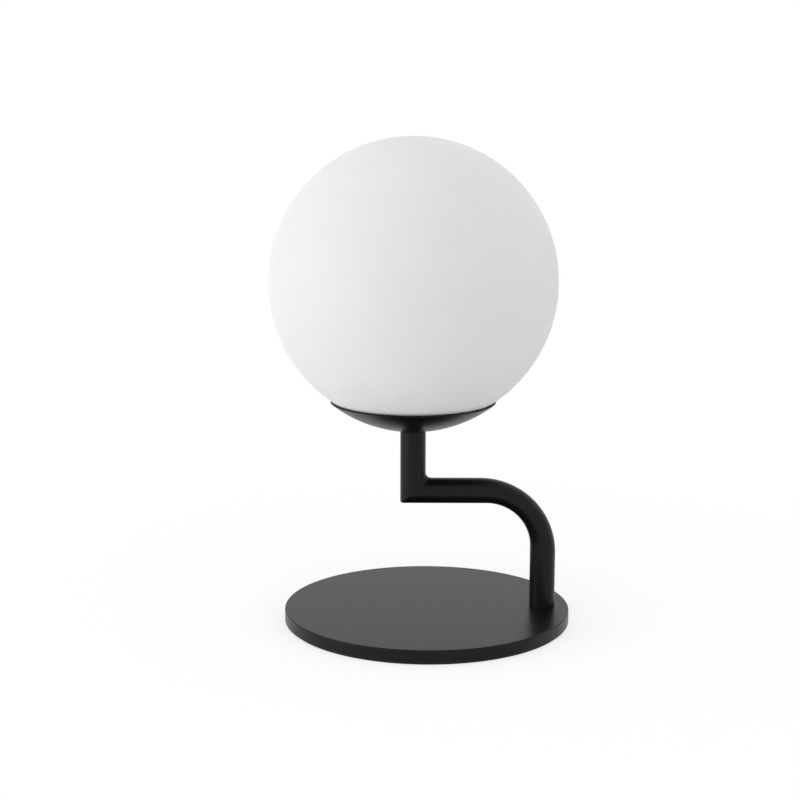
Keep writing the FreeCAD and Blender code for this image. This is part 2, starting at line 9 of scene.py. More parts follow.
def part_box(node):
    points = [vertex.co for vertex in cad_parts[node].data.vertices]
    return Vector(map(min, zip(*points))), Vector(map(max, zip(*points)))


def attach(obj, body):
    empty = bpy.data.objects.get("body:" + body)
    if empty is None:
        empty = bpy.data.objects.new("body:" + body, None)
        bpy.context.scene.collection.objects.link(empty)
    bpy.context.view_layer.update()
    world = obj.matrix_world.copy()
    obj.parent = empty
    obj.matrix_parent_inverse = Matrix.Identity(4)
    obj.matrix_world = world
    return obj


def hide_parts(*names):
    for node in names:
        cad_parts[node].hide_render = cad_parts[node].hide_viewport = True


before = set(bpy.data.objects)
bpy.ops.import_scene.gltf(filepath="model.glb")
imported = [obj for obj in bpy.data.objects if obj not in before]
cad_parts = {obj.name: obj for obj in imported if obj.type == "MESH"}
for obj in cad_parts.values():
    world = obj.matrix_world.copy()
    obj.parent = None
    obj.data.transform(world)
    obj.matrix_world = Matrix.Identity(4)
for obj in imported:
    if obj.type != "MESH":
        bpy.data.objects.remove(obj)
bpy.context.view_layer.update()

bl_info = {
    "name": "Glass globe table lamp",
    "version": (1, 0, 0),
    "blender": (4, 5, 0),
    "location": "View3D > Sidebar > Globe Lamp",
    "description": "Dresses the frame of a small table lamp with an opal glass globe",
    "category": "Add Mesh",
}

MM = 0.001


# ---------------------------------------------------------------- sizes read from the frame
def span(node, axis):
    """Lowest and highest place of a CAD node along one axis, 0 for X to 2 for Z."""
    low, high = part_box(node)
    return low[axis], high[axis]


def middle(node, axis):
    """Place halfway through a CAD node along one axis."""
    return sum(span(node, axis)) / 2


def half_width(node, axis=0):
    """Half a CAD node's width along one axis: the radius of a turned one."""
    low, high = span(node, axis)
    return (high - low) / 2


BASE_RADIUS = half_width("base_plate")
BASE_BOTTOM, BASE_TOP = span("base_plate", 2)
PAD_RADIUS = half_width("base_pad")
STEM_X = middle("riser_tube", 0)
TUBE_RADIUS = half_width("riser_tube")
RISER_TOP = span("riser_tube", 2)[1]
ARM_LEVEL = span("arm_tube", 2)[1] - TUBE_RADIUS
FOOT_X = span("arm_tube", 0)[1] - TUBE_RADIUS
CUP_BOTTOM, CUP_RIM = span("shade_cup", 2)
CUP_RADIUS = half_width("shade_cup")
NIPPLE_RADIUS = half_width("cup_nipple")
GLOBE_RADIUS = half_width("glass_globe")
MOUTH_LEVEL, GLOBE_TOP = span("glass_globe", 2)

# Fits between pieces, as in the frame's own source. So are the small sizes below.
SLIP = 0.05 * MM
RUNNING_GAP = 0.3 * MM
NIPPLE_HOLE = NIPPLE_RADIUS + SLIP
CUTTER_REACH = 1.0 * MM

# Base: plate, pad, wire channel, foot weld and inlet.
PLATE_FOOT_EDGE = 0.3 * MM
PAD_EDGE = 0.15 * MM
CHANNEL_WIDTH = 7.0 * MM
CHANNEL_TOP = BASE_TOP - 1.4 * MM
FOOT_WELD_LEG = 1.0 * MM
GROMMET_EDGE = 0.3 * MM
INLET_WIDTH, INLET_HEIGHT = 5.4 * MM, 2.6 * MM

# Tubes and mitre. The bulge is the share of the bend's draw that goes out to the sides. The
# seam's edge and the outer tip's rounding grow with the cosine of the angle round the tube.
SEAM_EDGE = 0.1 * MM
JOINT_EDGE = 0.12 * MM
BEND_BULGE = 0.2
SEAM_FULL = 0.1
TIP_START, TIP_FULL = 0.25, 0.85

# Corner weld. It grows between two cosines of the angle round the tube. Its ripples are so
# many to a turn, and so deep as a share of its throat.
WELD_REACH, WELD_FULL = 0.3, 0.8
RIPPLE_COUNT, RIPPLE_DEPTH = 14, 0.02

# Cup, neck ring and glass carrier. The two holds are shares of the cup's flat middle: a point
# there keeps the middle flat when it is shaded.
RING_EDGE = 0.2 * MM
CUP_FLAT = TUBE_RADIUS + 2.5 * MM
CUP_LIP = 0.3 * MM
CUP_BEAD = 0.25 * MM
FLAT_HOLD_UNDER, FLAT_HOLD_INSIDE = 0.97, 0.9
CARRIER_SHEET = 0.6 * MM
CARRIER_BEND, CARRIER_CREASE, CARRIER_RIM = 0.5 * MM, 0.15 * MM, 0.2 * MM
COLLAR_GAP = 0.8 * MM

# Leaf springs round the collar.
SPRING_COUNT = 3
SPRING_WIDTH, SPRING_SHEET = 7.0 * MM, 0.3 * MM
SPRING_CORNER = 0.4 * SPRING_SHEET

# Nipple, nut, wires and sleeves. The nut's bevel is a share of its height, and its end face a
# share of its width over the flats. A sleeve runs straight over the splay's run at both ends,
# and its bends take up a share of that.
THREAD_PITCH, THREAD_DEPTH = 1.0 * MM, 0.4 * MM
NUT_BEVEL, NUT_FACE, NUT_CONE = 0.3, 0.98, math.radians(30)
LEAD_RADIUS = 0.9 * MM
LEAD_OFFSET = 1.3 * MM
NIPPLE_BORE = LEAD_OFFSET + LEAD_RADIUS + RUNNING_GAP
SLEEVE_WALL = 0.35 * MM
SPLAY_RUN, SPLAY_SHARE = 1.4 * MM, 0.9
SLEEVE_STEP = 0.25 * MM

# Stirrup, lampholder and its screws. The cross recess is a share of the head's radius wide.
BRACKET_SHEET, BRACKET_BEND, BRACKET_EDGE = 1.2 * MM, 1.6 * MM, 0.25 * MM
BRACKET_STEP = 0.5 * MM
SCREW_RADIUS = 1.45 * MM
SCREW_LEVEL = middle("socket_screws", 2)
SCREW_BITE = 2.0 * MM
SCREW_TIP = 0.3 * MM
HEAD_HEIGHT = 1.6 * MM
HEAD_CROWN, HEAD_EDGE = 0.55 * HEAD_HEIGHT, 0.1 * MM
CROSS_SLOT = 1 / 3.5
SOCKET_CORNER, SOCKET_EDGE = 1.5 * MM, 0.5 * MM
POCKET_SIZE = (2.4 * MM, 3.8 * MM, 13.0 * MM)

# Bulb.
PIN_WIDTH = 2.6 * MM
PIN_OFFSET = span("bulb_pins", 1)[1] - PIN_WIDTH / 2
BULB_FOOT = (9.0 * MM, 15.0 * MM, 6.0 * MM)
BULB_FOOT_EDGE = 0.4 * MM
BULB_WALL = 0.8 * MM
BULB_COLLAR_TOP, BULB_COLLAR_FOOT = 0.12 * MM, 0.8 * MM

# Globe: the rounding of its ground mouth.
GLASS_EDGE = 0.6 * MM

# Points round a turned piece: the cup, plate and globe, most of the others, the tubes, the
# bulb, nipple and nut, and then the small ones.
WIDE_STEPS, ROUND_STEPS, TUBE_STEPS = 256, 192, 128
MEDIUM_STEPS, SMALL_STEPS, LEAD_STEPS, PIN_STEPS = 96, 64, 32, 16

# Stage. Between two distances from the base's middle the floor changes from paper that takes a
# shadow to plain white. The sensor's width is in millimetres.
FLOOR_SIZE = 60.0
SHADOW_NEAR, SHADOW_FAR = 0.09, 0.45
SENSOR = 36.0

# Gloss of the powder coat, as a specular level: polyester with a matting agent in it.
COAT_SHINE = 0.175


# ---------------------------------------------------------------- numpy surfaces
def unit(vector):
    """The vector at length 1."""
    return vector / np.linalg.norm(vector)


def tangent_arc(here, back, ahead, radius, count):
    """Arc of count points that rounds the corner here between two unit directions.

    Its centre lies between the two sides at radius / sin(half their angle), and it meets them
    at radius / tan(half). Each point is centre + a blend of the two end spokes by sines."""
    half = math.acos(np.clip(back @ ahead, -1, 1)) / 2
    turn = math.pi - 2 * half
    centre = here + unit(back + ahead) * radius / math.sin(half)
    start, end = (here + side * radius / math.tan(half) for side in (back, ahead))
    t = np.linspace(0, 1, count)[:, None]
    return centre + ((start - centre) * np.sin((1 - t) * turn)
                     + (end - centre) * np.sin(t * turn)) / math.sin(turn)


def rounded(corners, steps=6, hold=0.4):
    """Outline through (radius, level, fillet) corners as an (n, 2) array.

    Each corner with a fillet becomes an arc tangent to its two sides, with one more point on
    each side, hold times the fillet away, so that the flat sides stay flat when shaded."""
    points = []
    for k, (r, z, fillet) in enumerate(corners):
        here = np.array([r, z])
        if not fillet:
            points.append(here[None])
            continue
        back = unit(np.array(corners[k - 1][:2]) - here)
        ahead = unit(np.array(corners[(k + 1) % len(corners)][:2]) - here)
        arc = tangent_arc(here, back, ahead, fillet, steps + 1)
        side = hold * fillet
        points += [arc[:1] + back * side, arc, arc[-1:] + ahead * side]
    return np.vstack(points)


def arc_points(centre_level, radius, start_angle, end_angle, steps):
    """Arc about a point of the axis: (radius cos a, level + radius sin a)."""
    a = np.linspace(start_angle, end_angle, steps)
    return np.stack([radius * np.cos(a), centre_level + radius * np.sin(a)], 1)


def turned(outline, x=0.0, steps=ROUND_STEPS):
    """Outline of (radius, level) turned about the upright axis at x:
    point = (x + radius cos a, radius sin a, level)."""
    a = np.linspace(0, 2 * np.pi, steps, endpoint=False)
    r, z = outline.T
    return np.stack([x + np.outer(r, np.cos(a)), np.outer(r, np.sin(a)),
                     np.repeat(z[:, None], steps, 1)], -1)


def ring(outline, steps=ROUND_STEPS):
    """Closed outline turned about the stem's axis, as a grid whose rows join up."""
    return turned(outline, STEM_X, steps), True


def plug(radius, low, high, x=STEM_X, steps=ROUND_STEPS):
    """Closed cylinder about the upright axis at x, used to cut with."""
    return turned(np.array([(0, low), (radius, low), (radius, high), (0, high)]), x, steps)


def about_stem(reach, angle, level):
    """Points at a reach from the stem's axis: (x + reach cos a, reach sin a, level)."""
    return np.stack([STEM_X + reach * np.cos(angle), reach * np.sin(angle),
                     np.broadcast_to(level, reach.shape)], -1)


def circle(radius, steps):
    """Round section about its own middle: radius times (cos a, sin a)."""
    a = np.linspace(0, 2 * np.pi, steps, endpoint=False)
    return np.stack([radius * np.cos(a), radius * np.sin(a)], 1)


def rounded_loop(wide, tall, corner, steps, side_steps=1):
    """Rectangle with round corners, anticlockwise, as (n, 2) points about its middle.

    Each quarter turn is an arc about a corner's own centre; side_steps splits the sides."""
    a = np.linspace(0, np.pi / 2, steps + 1)
    quarters = []
    for k, (x, y) in enumerate(((1, 1), (-1, 1), (-1, -1), (1, -1))):
        turn = a + k * np.pi / 2
        quarters.append(np.stack([x * (wide / 2 - corner) + corner * np.cos(turn),
                                  y * (tall / 2 - corner) + corner * np.sin(turn)], 1))
    loop = []
    for here, after in zip(quarters, quarters[1:] + quarters[:1]):
        loop.append(here)
        share = np.linspace(0, 1, side_steps + 1)[1:-1, None]
        loop.append(here[-1] + (after[0] - here[-1]) * share)
    return np.vstack(loop)


def slab(centre, size, corner, edge, steps=5):
    """Upright block with round upright corners and softer edges top and bottom: loops of a
    rounded rectangle, drawn in by edge (1 - sin a) over a quarter turn at each end."""
    a = np.linspace(0, np.pi / 2, steps + 1)
    inset = edge * (1 - np.sin(a))
    level = size[2] / 2 - edge * (1 - np.cos(a))
    rows = [*zip(inset, -level), *zip(inset[::-1], level[::-1])]
    loops = []
    for gap, z in rows:
        loop = rounded_loop(size[0] - 2 * gap, size[1] - 2 * gap, max(corner - gap, edge / 4), steps)
        loops.append(np.column_stack([loop, np.full(len(loop), z)]))
    return capped(np.stack(loops)) + centre


def brick(x, y, z):
    """Plain closed box between two places on each axis, used to cut with."""
    loop = np.array([(x[0], y[0]), (x[1], y[0]), (x[1], y[1]), (x[0], y[1])])
    return capped(np.stack([np.column_stack([loop, np.full(4, level)]) for level in z]))


def swept(path, section):
    """Closed section of (across, along X) points carried along a path in a plane across X:
    point = path + across (tangent x X axis) + section's second part along X."""
    axis = np.array([1.0, 0.0, 0.0])
    tangent = np.gradient(path, axis=0)
    tangent = tangent / np.linalg.norm(tangent, axis=1)[:, None]
    side = np.cross(tangent, axis)
    return path[:, None] + section[None, :, :1] * side[:, None] + section[None, :, 1:] * axis


def capped(rows):
    """Closes both ends of an open surface with a point at the middle of its end rows."""
    ends = [np.repeat(row.mean(0)[None, None], rows.shape[1], 1) for row in (rows[0], rows[-1])]
    return np.concatenate([ends[0], rows, ends[1]])


def bent_path(corners, radius, step):
    """Straight runs through corners joined by tangent arcs, as points about a step apart."""
    corners = np.array(corners, float)
    points = [corners[0]]
    for here, after in zip(corners[1:-1], corners[2:]):
        back, ahead = unit(points[-1] - here), unit(after - here)
        turn = math.pi - math.acos(np.clip(back @ ahead, -1, 1))
        points += list(tangent_arc(here, back, ahead, radius, max(4, int(radius * turn / step))))
    points.append(corners[-1])
    runs = [np.linspace(a, b, max(2, int(np.linalg.norm(b - a) / step)), endpoint=False)
            for a, b in zip(points[:-1], points[1:])]
    return np.vstack(runs + [points[-1:]])


def faces_of(rows, columns, wrap_rows, first):
    """Corner numbers of the quads of a grid whose columns join up, and its rows too if asked."""
    i = np.arange(rows if wrap_rows else rows - 1)[:, None]
    j = np.arange(columns)[None]
    below, right = (i + 1) % rows, (j + 1) % columns
    quads = np.stack([i * columns + j, i * columns + right, below * columns + right,
                      below * columns + j], -1)
    return quads.reshape(-1, 4) + first


def mesh_of(name, grids):
    """One mesh from grids of points; a grid given as (points, True) has rows that join up.
    Doubled points at poles and seams are merged and all faces turned outwards."""
    verts, quads, count = [], [], 0
    for grid in grids:
        points, wrap = grid if isinstance(grid, tuple) else (grid, False)
        quads.append(faces_of(points.shape[0], points.shape[1], wrap, count))
        verts.append(points.reshape(-1, 3))
        count += points.shape[0] * points.shape[1]
    verts, quads = np.vstack(verts), np.vstack(quads)
    mesh = bpy.data.meshes.new(name)
    mesh.vertices.add(len(verts))
    mesh.vertices.foreach_set("co", verts.ravel())
    mesh.loops.add(quads.size)
    mesh.loops.foreach_set("vertex_index", quads.ravel())
    mesh.polygons.add(len(quads))
    mesh.polygons.foreach_set("loop_start", np.arange(0, quads.size, 4))
    mesh.update(calc_edges=True)
    work = bmesh.new()
    work.from_mesh(mesh)
    bmesh.ops.remove_doubles(work, verts=work.verts, dist=1e-4 * MM)
    bmesh.ops.dissolve_degenerate(work, edges=work.edges, dist=1e-5 * MM)
    bmesh.ops.recalc_face_normals(work, faces=work.faces)
    work.to_mesh(mesh)
    work.free()
    return mesh


def carved(piece, cuts):
    """Mesh of the piece with each cutter, a closed grid, taken out of it."""
    cutters = []
    for grid in cuts:
        cutter = bpy.data.objects.new("cutter", mesh_of("cutter", [grid]))
        bpy.context.scene.collection.objects.link(cutter)
        taking = piece.modifiers.new("cut", "BOOLEAN")
        taking.operation = "DIFFERENCE"
        taking.solver = "EXACT"
        taking.object = cutter
        cutters.append(cutter)
    shown = piece.evaluated_get(bpy.context.evaluated_depsgraph_get())
    mesh = bpy.data.meshes.new_from_object(shown)
    piece.modifiers.clear()
    for cutter in cutters:
        bpy.data.meshes.remove(cutter.data)
    return mesh


def make_piece(name, grids, material, crease, cuts):
    """Object at the origin from grids of points, smooth but for edges sharper than the crease."""
    piece = bpy.data.objects.new(name, mesh_of(name, grids))
    bpy.context.scene.collection.objects.link(piece)
    if cuts:
        piece.data = carved(piece, cuts)
    mesh = piece.data
    mesh.polygons.foreach_set("use_smooth", np.ones(len(mesh.polygons), bool))
    mesh.set_sharp_from_angle(angle=math.radians(crease))
    mesh.materials.clear()
    mesh.materials.append(material)
    return piece


def stand_in_for(node, grids, material, body="stand", crease=35.0, cuts=()):
    """Makes the piece that shows in place of a CAD node, and sets it on that node's body."""
    piece = make_piece(node + "_surface", grids, material, crease, cuts)
    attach(piece, body)
    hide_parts(node)
    return piece


def dress(node, material):
    """Gives a CAD node that shows as it is its material."""
    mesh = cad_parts[node].data
    mesh.materials.clear()
    mesh.materials.append(material)


# ---------------------------------------------------------------- materials
def linear(hex_colour):
    """sRGB hex such as #1A2B3C as linear red, green, blue and alpha 1."""
    parts = np.array([int(hex_colour[k:k + 2], 16) for k in (1, 3, 5)]) / 255
    low, high = parts / 12.92, ((parts + 0.055) / 1.055) ** 2.4
    return tuple(float(v) for v in np.where(parts <= 0.04045, low, high)) + (1.0,)


def emptied(owner):
    """Node tree of a new material or world, with no nodes in it."""
    owner.use_nodes = True
    owner.node_tree.nodes.clear()
    return owner.node_tree


def new_material(name):
    """New material and its node tree, which is empty."""
    material = bpy.data.materials.new(name)
    return material, emptied(material)


def add(tree, kind, inputs=None, **settings):
    """Adds a node: settings are its properties, inputs are values or sockets to link in."""
    new = tree.nodes.new(kind)
    for key, value in settings.items():
        setattr(new, key, value)
    for key, value in (inputs or {}).items():
        if isinstance(value, bpy.types.NodeSocket):
            tree.links.new(value, new.inputs[key])
        else:
            new.inputs[key].default_value = value
    return new


def grain_on(tree, size, detail=2.0, stretch=(1, 1, 1)):
    """Even noise pattern that lies on the piece, with grains of a size in metres, longer along
    an axis by its stretch."""
    place = add(tree, "ShaderNodeTexCoord")
    scaled = add(tree, "ShaderNodeMapping", {
        "Vector": place.outputs["Object"], "Scale": tuple(1 / (size * s) for s in stretch)})
    noise = add(tree, "ShaderNodeTexNoise", {
        "Vector": scaled.outputs[0], "Scale": 1.0, "Detail": detail})
    return noise.outputs["Fac"]


def finished(tree, plain, tone=None, tones=(), grain=None, rough=(), relief=0.0):
    """Joins a finish's patterns in a shader and an output.

    plain holds the shader's inputs that are the same all over the surface. The tone pattern
    blends the first of the tones, two sRGB colours, into the second. The grain pattern's middle
    range spreads over the two roughness values of rough, and its height is the relief."""
    inputs = dict(plain)
    if tones:
        # The Mix node's sockets for colours: 0 the factor, 6 and 7 the two colours, 2 the result.
        first, second = (linear(colour) for colour in tones)
        mix = add(tree, "ShaderNodeMix", {0: tone, 6: first, 7: second}, data_type="RGBA")
        inputs["Base Color"] = mix.outputs[2]
    if rough:
        spread = add(tree, "ShaderNodeMapRange", {
            "Value": grain, "From Min": 0.3, "From Max": 0.7,
            "To Min": rough[0], "To Max": rough[1]})
        inputs["Roughness"] = spread.outputs[0]
    if relief:
        bump = add(tree, "ShaderNodeBump", {"Height": grain, "Distance": relief})
        inputs["Normal"] = bump.outputs[0]
    shader = add(tree, "ShaderNodeBsdfPrincipled", inputs)
    add(tree, "ShaderNodeOutputMaterial", {"Surface": shader.outputs[0]})


def powder_coat():
    """Black polyester powder coat, sprayed and baked: satin, with a fine orange peel whose waves
    lie 0.9 mm apart. Its troughs are painted a little darker than its crests: painted shade."""
    material, tree = new_material("black_powder_coat")
    finish = bpy.context.scene.lamp_finish
    peel_and_shade = grain_on(tree, 0.9 * MM, 3.0)
    # Painted shade: the peel's troughs take the darker coat tone and its crests the lighter one.
    finished(tree, {"IOR": 1.5, "Specular IOR Level": COAT_SHINE},
             peel_and_shade, (finish.coat_dark, finish.coat_light),
             peel_and_shade, (finish.coat_roughness - 0.03, finish.coat_roughness + 0.03), 0.012 * MM)
    return material


def opal_glass():
    """Opal glass, blown and acid-etched outside: milky through its wall, with no gloss. The
    frost of the etching is drawn coarser than it is, at 0.45 mm, so that it shows."""
    material, tree = new_material("etched_opal_glass")
    finish = bpy.context.scene.lamp_finish
    finished(tree, {"IOR": 1.5, "Specular IOR Level": 0.3, "Subsurface Weight": 1.0,
                    "Subsurface Radius": (1.0, 0.99, 0.98), "Subsurface Scale": 8 * MM},
             grain_on(tree, 38 * MM, 3.0), (finish.glass_light, finish.glass_dark),
             grain_on(tree, 0.45 * MM), (0.5, 0.62), 0.006 * MM)
    return material


def grained_plastic(name, dark, light, roughness):
    """Moulded or extruded polymer: a fine even grain and a slight change of tone. The grain of
    the mould is drawn at 0.5 mm, as coarse as it has to be to show."""
    material, tree = new_material(name)
    grain = 0.5 * MM
    finished(tree, {}, grain_on(tree, 12 * grain), (dark, light),
             grain_on(tree, grain), (roughness - 0.05, roughness + 0.05), 0.01 * MM)
    return material


def foam():
    """Closed-cell foam, cut from sheet: dull black with open cut cells, 0.45 mm wide. The cells'
    hollows are painted darker than their walls, as painted shade.
    """
    material, tree = new_material("closed_cell_foam")
    place = add(tree, "ShaderNodeTexCoord")
    cells_and_shade = add(tree, "ShaderNodeTexVoronoi", {
        "Vector": place.outputs["Object"], "Scale": 1 / (0.45 * MM)}).outputs["Distance"]
    # Painted shade: dark in each cell's hollow, lighter towards its walls.
    tone = add(tree, "ShaderNodeMapRange", {"Value": cells_and_shade, "From Max": 0.6})
    finished(tree, {"Roughness": 0.95, "Specular IOR Level": 0.2},
             tone.outputs[0], ("#060606", "#191919"), cells_and_shade, relief=0.08 * MM)
    return material


def bare_metal(name, dark, light, roughness, stretch=(1, 1, 1)):
    """Uncoated metal: drawn, rolled or plated, with the marks running along the stretch. The
    marks are drawn at 0.25 mm, coarser than they are, so that they show."""
    material, tree = new_material(name)
    finished(tree, {"Metallic": 1.0}, grain_on(tree, 6 * MM), (dark, light),
             grain_on(tree, 0.25 * MM, 4.0, stretch), (roughness - 0.07, roughness + 0.09),
             0.004 * MM)
    return material


def ceramic():
    """Steatite, pressed and fired with no glaze: off-white, dry, with faint brown specks about
    1.6 mm apart."""
    material, tree = new_material("unglazed_steatite")
    place = add(tree, "ShaderNodeTexCoord")
    specks = add(tree, "ShaderNodeTexVoronoi", {
        "Vector": place.outputs["Object"], "Scale": 1 / (1.6 * MM)}).outputs["Distance"]
    spot = add(tree, "ShaderNodeMapRange", {
        "Value": specks, "From Min": 0.04, "From Max": 0.11, "To Min": 1.0, "To Max": 0.0})
    finished(tree, {}, spot.outputs[0], ("#E6E1D4", "#B9A98C"),
             grain_on(tree, 0.3 * MM, 3.0), (0.6, 0.75), 0.02 * MM)
    return material


def silicone():
    """Moulded silicone rubber: milky, soft-looking and slightly see-through."""
    material, tree = new_material("milky_silicone")
    finished(tree, {"Roughness": 0.42, "IOR": 1.41, "Subsurface Weight": 0.5,
                    "Subsurface Scale": 1.5 * MM},
             grain_on(tree, 3 * MM), ("#D9D9D4", "#C9CAC6"))
    return material


def clear_cover():
    """Moulded polycarbonate cover: clear, a little satin, and faintly milky."""
    material, tree = new_material("satin_polycarbonate")
    finished(tree, {"Base Color": linear("#F3F5F4"), "IOR": 1.58, "Transmission Weight": 0.85},
             grain=grain_on(tree, 0.8 * MM), rough=(0.12, 0.2))
    return material


def braided_sleeve():
    """Glass-fibre sleeve: a diagonal braid of cream yarns 0.5 mm wide, with painted shade in a
    darker cream between the yarns. A wave pattern of scale 1 repeats every 0.31 units."""
    material, tree = new_material("braided_glass_fibre")
    place = add(tree, "ShaderNodeTexCoord")
    yarns = []
    for lean in (40, -40):
        turn = add(tree, "ShaderNodeMapping", {
            "Vector": place.outputs["Object"], "Rotation": (math.radians(lean), 0, 0)})
        yarns.append(add(tree, "ShaderNodeTexWave", {
            "Vector": turn.outputs[0], "Scale": 0.31 / (0.5 * MM), "Distortion": 0.4},
            bands_direction="Z").outputs["Fac"])
    weave_and_shade = add(tree, "ShaderNodeMath", {0: yarns[0], 1: yarns[1]}, operation="MAXIMUM").outputs[0]
    # Painted shade: the weave's low places between the yarns take the darker cream.
    finished(tree, {"Roughness": 0.85, "Sheen Weight": 0.2},
             weave_and_shade, ("#B8AE96", "#EAE4D4"), weave_and_shade, relief=0.12 * MM)
    return material


# ---------------------------------------------------------------- properties
class LampFinish(bpy.types.PropertyGroup):
    """Colours and gloss of the finishes that show."""
    coat_dark: bpy.props.StringProperty(
        name="Coat, dark", description="Darker tone of the powder coat, as sRGB hex",
        default="#090A0C")
    coat_light: bpy.props.StringProperty(
        name="Coat, light", description="Lighter tone of the powder coat, as sRGB hex",
        default="#0C0D10")
    coat_roughness: bpy.props.FloatProperty(
        name="Coat roughness", description="How matt the powder coat is", default=0.34,
        min=0.05, max=1.0, subtype="FACTOR")
    glass_light: bpy.props.StringProperty(
        name="Glass, light", description="Lighter tone of the opal glass, as sRGB hex",
        default="#EEEFEF")
    glass_dark: bpy.props.StringProperty(
        name="Glass, dark", description="Darker tone of the opal glass, as sRGB hex",
        default="#EAECEB")


class LampSizes(bpy.types.PropertyGroup):
    """Small sizes that the frame's boxes don't give."""
    tube_wall: bpy.props.FloatProperty(
        name="Tube wall", description="Wall of the bent tube and the riser",
        default=1.5 * MM, unit="LENGTH")
    bend_radius: bpy.props.FloatProperty(
        name="Bend radius", description="Radius of the tube's bend at its axis",
        default=23.7 * MM, unit="LENGTH")
    bend_draw: bpy.props.FloatProperty(
        name="Bend draw", description="How much the radius grows from the bend's inner to its "
        "outer side, as a share of the tube's width; above 1 the tube is thinner there",
        default=1.26, min=1.0, max=1.5)
    corner_weld: bpy.props.FloatProperty(
        name="Corner weld", description="Radius of the hollow weld in the mitred corner",
        default=2.3 * MM, unit="LENGTH")
    corner_round: bpy.props.FloatProperty(
        name="Corner tip", description="Radius of the mitre's ground outer tip",
        default=1.0 * MM, unit="LENGTH")
    base_edge: bpy.props.FloatProperty(
        name="Base edge", description="Rounding of the base plate's top edge",
        default=0.5 * MM, unit="LENGTH")
    cup_wall: bpy.props.FloatProperty(
        name="Cup wall", description="Sheet that the cup is spun from",
        default=0.8 * MM, unit="LENGTH")
    globe_wall: bpy.props.FloatProperty(
        name="Globe wall", description="Thickness of the blown glass",
        default=2.0 * MM, unit="LENGTH")
    mouth_radius: bpy.props.FloatProperty(
        name="Globe mouth", description="Radius of the bore in the globe's bottom",
        default=18.0 * MM, unit="LENGTH")


class LampStage(bpy.types.PropertyGroup):
    """Floor, surroundings and key lamp."""
    floor_white: bpy.props.FloatProperty(
        name="Floor white", description="How much of the floor near the base is plain white",
        default=0.7, min=0.0, max=1.0, subtype="FACTOR")
    fill_from: bpy.props.FloatVectorProperty(
        name="Fill from", description="Direction of the brightest surroundings", size=3,
        subtype="DIRECTION", default=(-0.05, -0.6, 0.6))
    bright_side: bpy.props.FloatProperty(
        name="Bright side", description="Level of the surroundings in that direction",
        default=1.2, min=0.0)
    dim_side: bpy.props.FloatProperty(
        name="Dim side", description="Level of the surroundings opposite to it", default=0.38,
        min=0.0)
    key_tint: bpy.props.StringProperty(
        name="Key tint", description="Colour of the soft lamp: daylight, a little cool",
        default="#F6FBFF")
    key_place: bpy.props.FloatVectorProperty(
        name="Key place", description="Where the soft lamp at the left stands", size=3,
        subtype="TRANSLATION", unit="LENGTH", default=(-1.18, -0.55, 0.17))
    key_power: bpy.props.FloatProperty(
        name="Key power", description="Power of the soft lamp at the left", default=4.6,
        unit="POWER")
    key_size: bpy.props.FloatVectorProperty(
        name="Key size", description="Width and height of the soft lamp", size=2, unit="LENGTH",
        default=(0.6, 0.32))


class LampCamera(bpy.types.PropertyGroup):
    """The view that the lamp is shown from."""
    place: bpy.props.FloatVectorProperty(
        name="Place", description="Where the camera stands", size=3, subtype="TRANSLATION",
        unit="LENGTH", default=(-7.09 * MM, -672.31 * MM, 215.0 * MM))
    dip: bpy.props.FloatProperty(
        name="Dip", description="How far the camera looks down", subtype="ANGLE",
        default=math.radians(10.64))
    swing: bpy.props.FloatProperty(
        name="Swing", description="How far the camera looks to the left", subtype="ANGLE",
        default=math.radians(0.31))
    lean: bpy.props.FloatProperty(
        name="Lean", description="How far the camera is rolled", subtype="ANGLE",
        default=math.radians(0.09))
    lens: bpy.props.FloatProperty(
        name="Lens", description="Focal length on a 36 mm sensor", unit="CAMERA", default=79.04)


# ---------------------------------------------------------------- base
def plate_cutters():
    """Post's hole, the countersink under it, and the wire channel's two straight arms."""
    half = CHANNEL_WIDTH / 2
    hole = TUBE_RADIUS + SLIP
    deep, weld_top = BASE_BOTTOM - CUTTER_REACH, BASE_BOTTOM + FOOT_WELD_LEG
    sink = turned(np.array([(0, deep), (hole + FOOT_WELD_LEG + CUTTER_REACH, deep),
                            (hole, weld_top), (0, weld_top)]), FOOT_X)
    return [plug(hole, deep, 2 * BASE_TOP, FOOT_X), sink,
            brick((-half, FOOT_X), (-half, half), (deep, CHANNEL_TOP)),
            brick((-half, half), (0, BASE_RADIUS + half), (deep, CHANNEL_TOP))]


class LAMP_OT_base_plate(bpy.types.Operator):
    """Round steel plate with a rounded top edge, the post's hole and the wire channel"""
    bl_idname = "lamp.base_plate"
    bl_label = "Base plate"

    def execute(self, context):
        edge = context.scene.lamp_sizes.base_edge
        outline = rounded([(0, BASE_TOP, 0), (BASE_RADIUS, BASE_TOP, edge),
                           (BASE_RADIUS, BASE_BOTTOM, PLATE_FOOT_EDGE), (0, BASE_BOTTOM, 0)])
        stand_in_for("base_plate", [turned(outline, steps=WIDE_STEPS)], powder_coat(),
                     cuts=plate_cutters())
        dress("foot_weld", bare_metal("ground_mild_steel", "#8A8883", "#9C9A95", 0.42))
        return {"FINISHED"}


class LAMP_OT_base_pad(bpy.types.Operator):
    """Thin foam pad stuck under the plate"""
    bl_idname = "lamp.base_pad"
    bl_label = "Base pad"

    def execute(self, context):
        low, high = span("base_pad", 2)
        outline = rounded([(0, high, 0), (PAD_RADIUS, high, 0), (PAD_RADIUS, low, PAD_EDGE),
                           (0, low, 0)], steps=3)
        stand_in_for("base_pad", [turned(outline, steps=WIDE_STEPS)], foam())
        return {"FINISHED"}


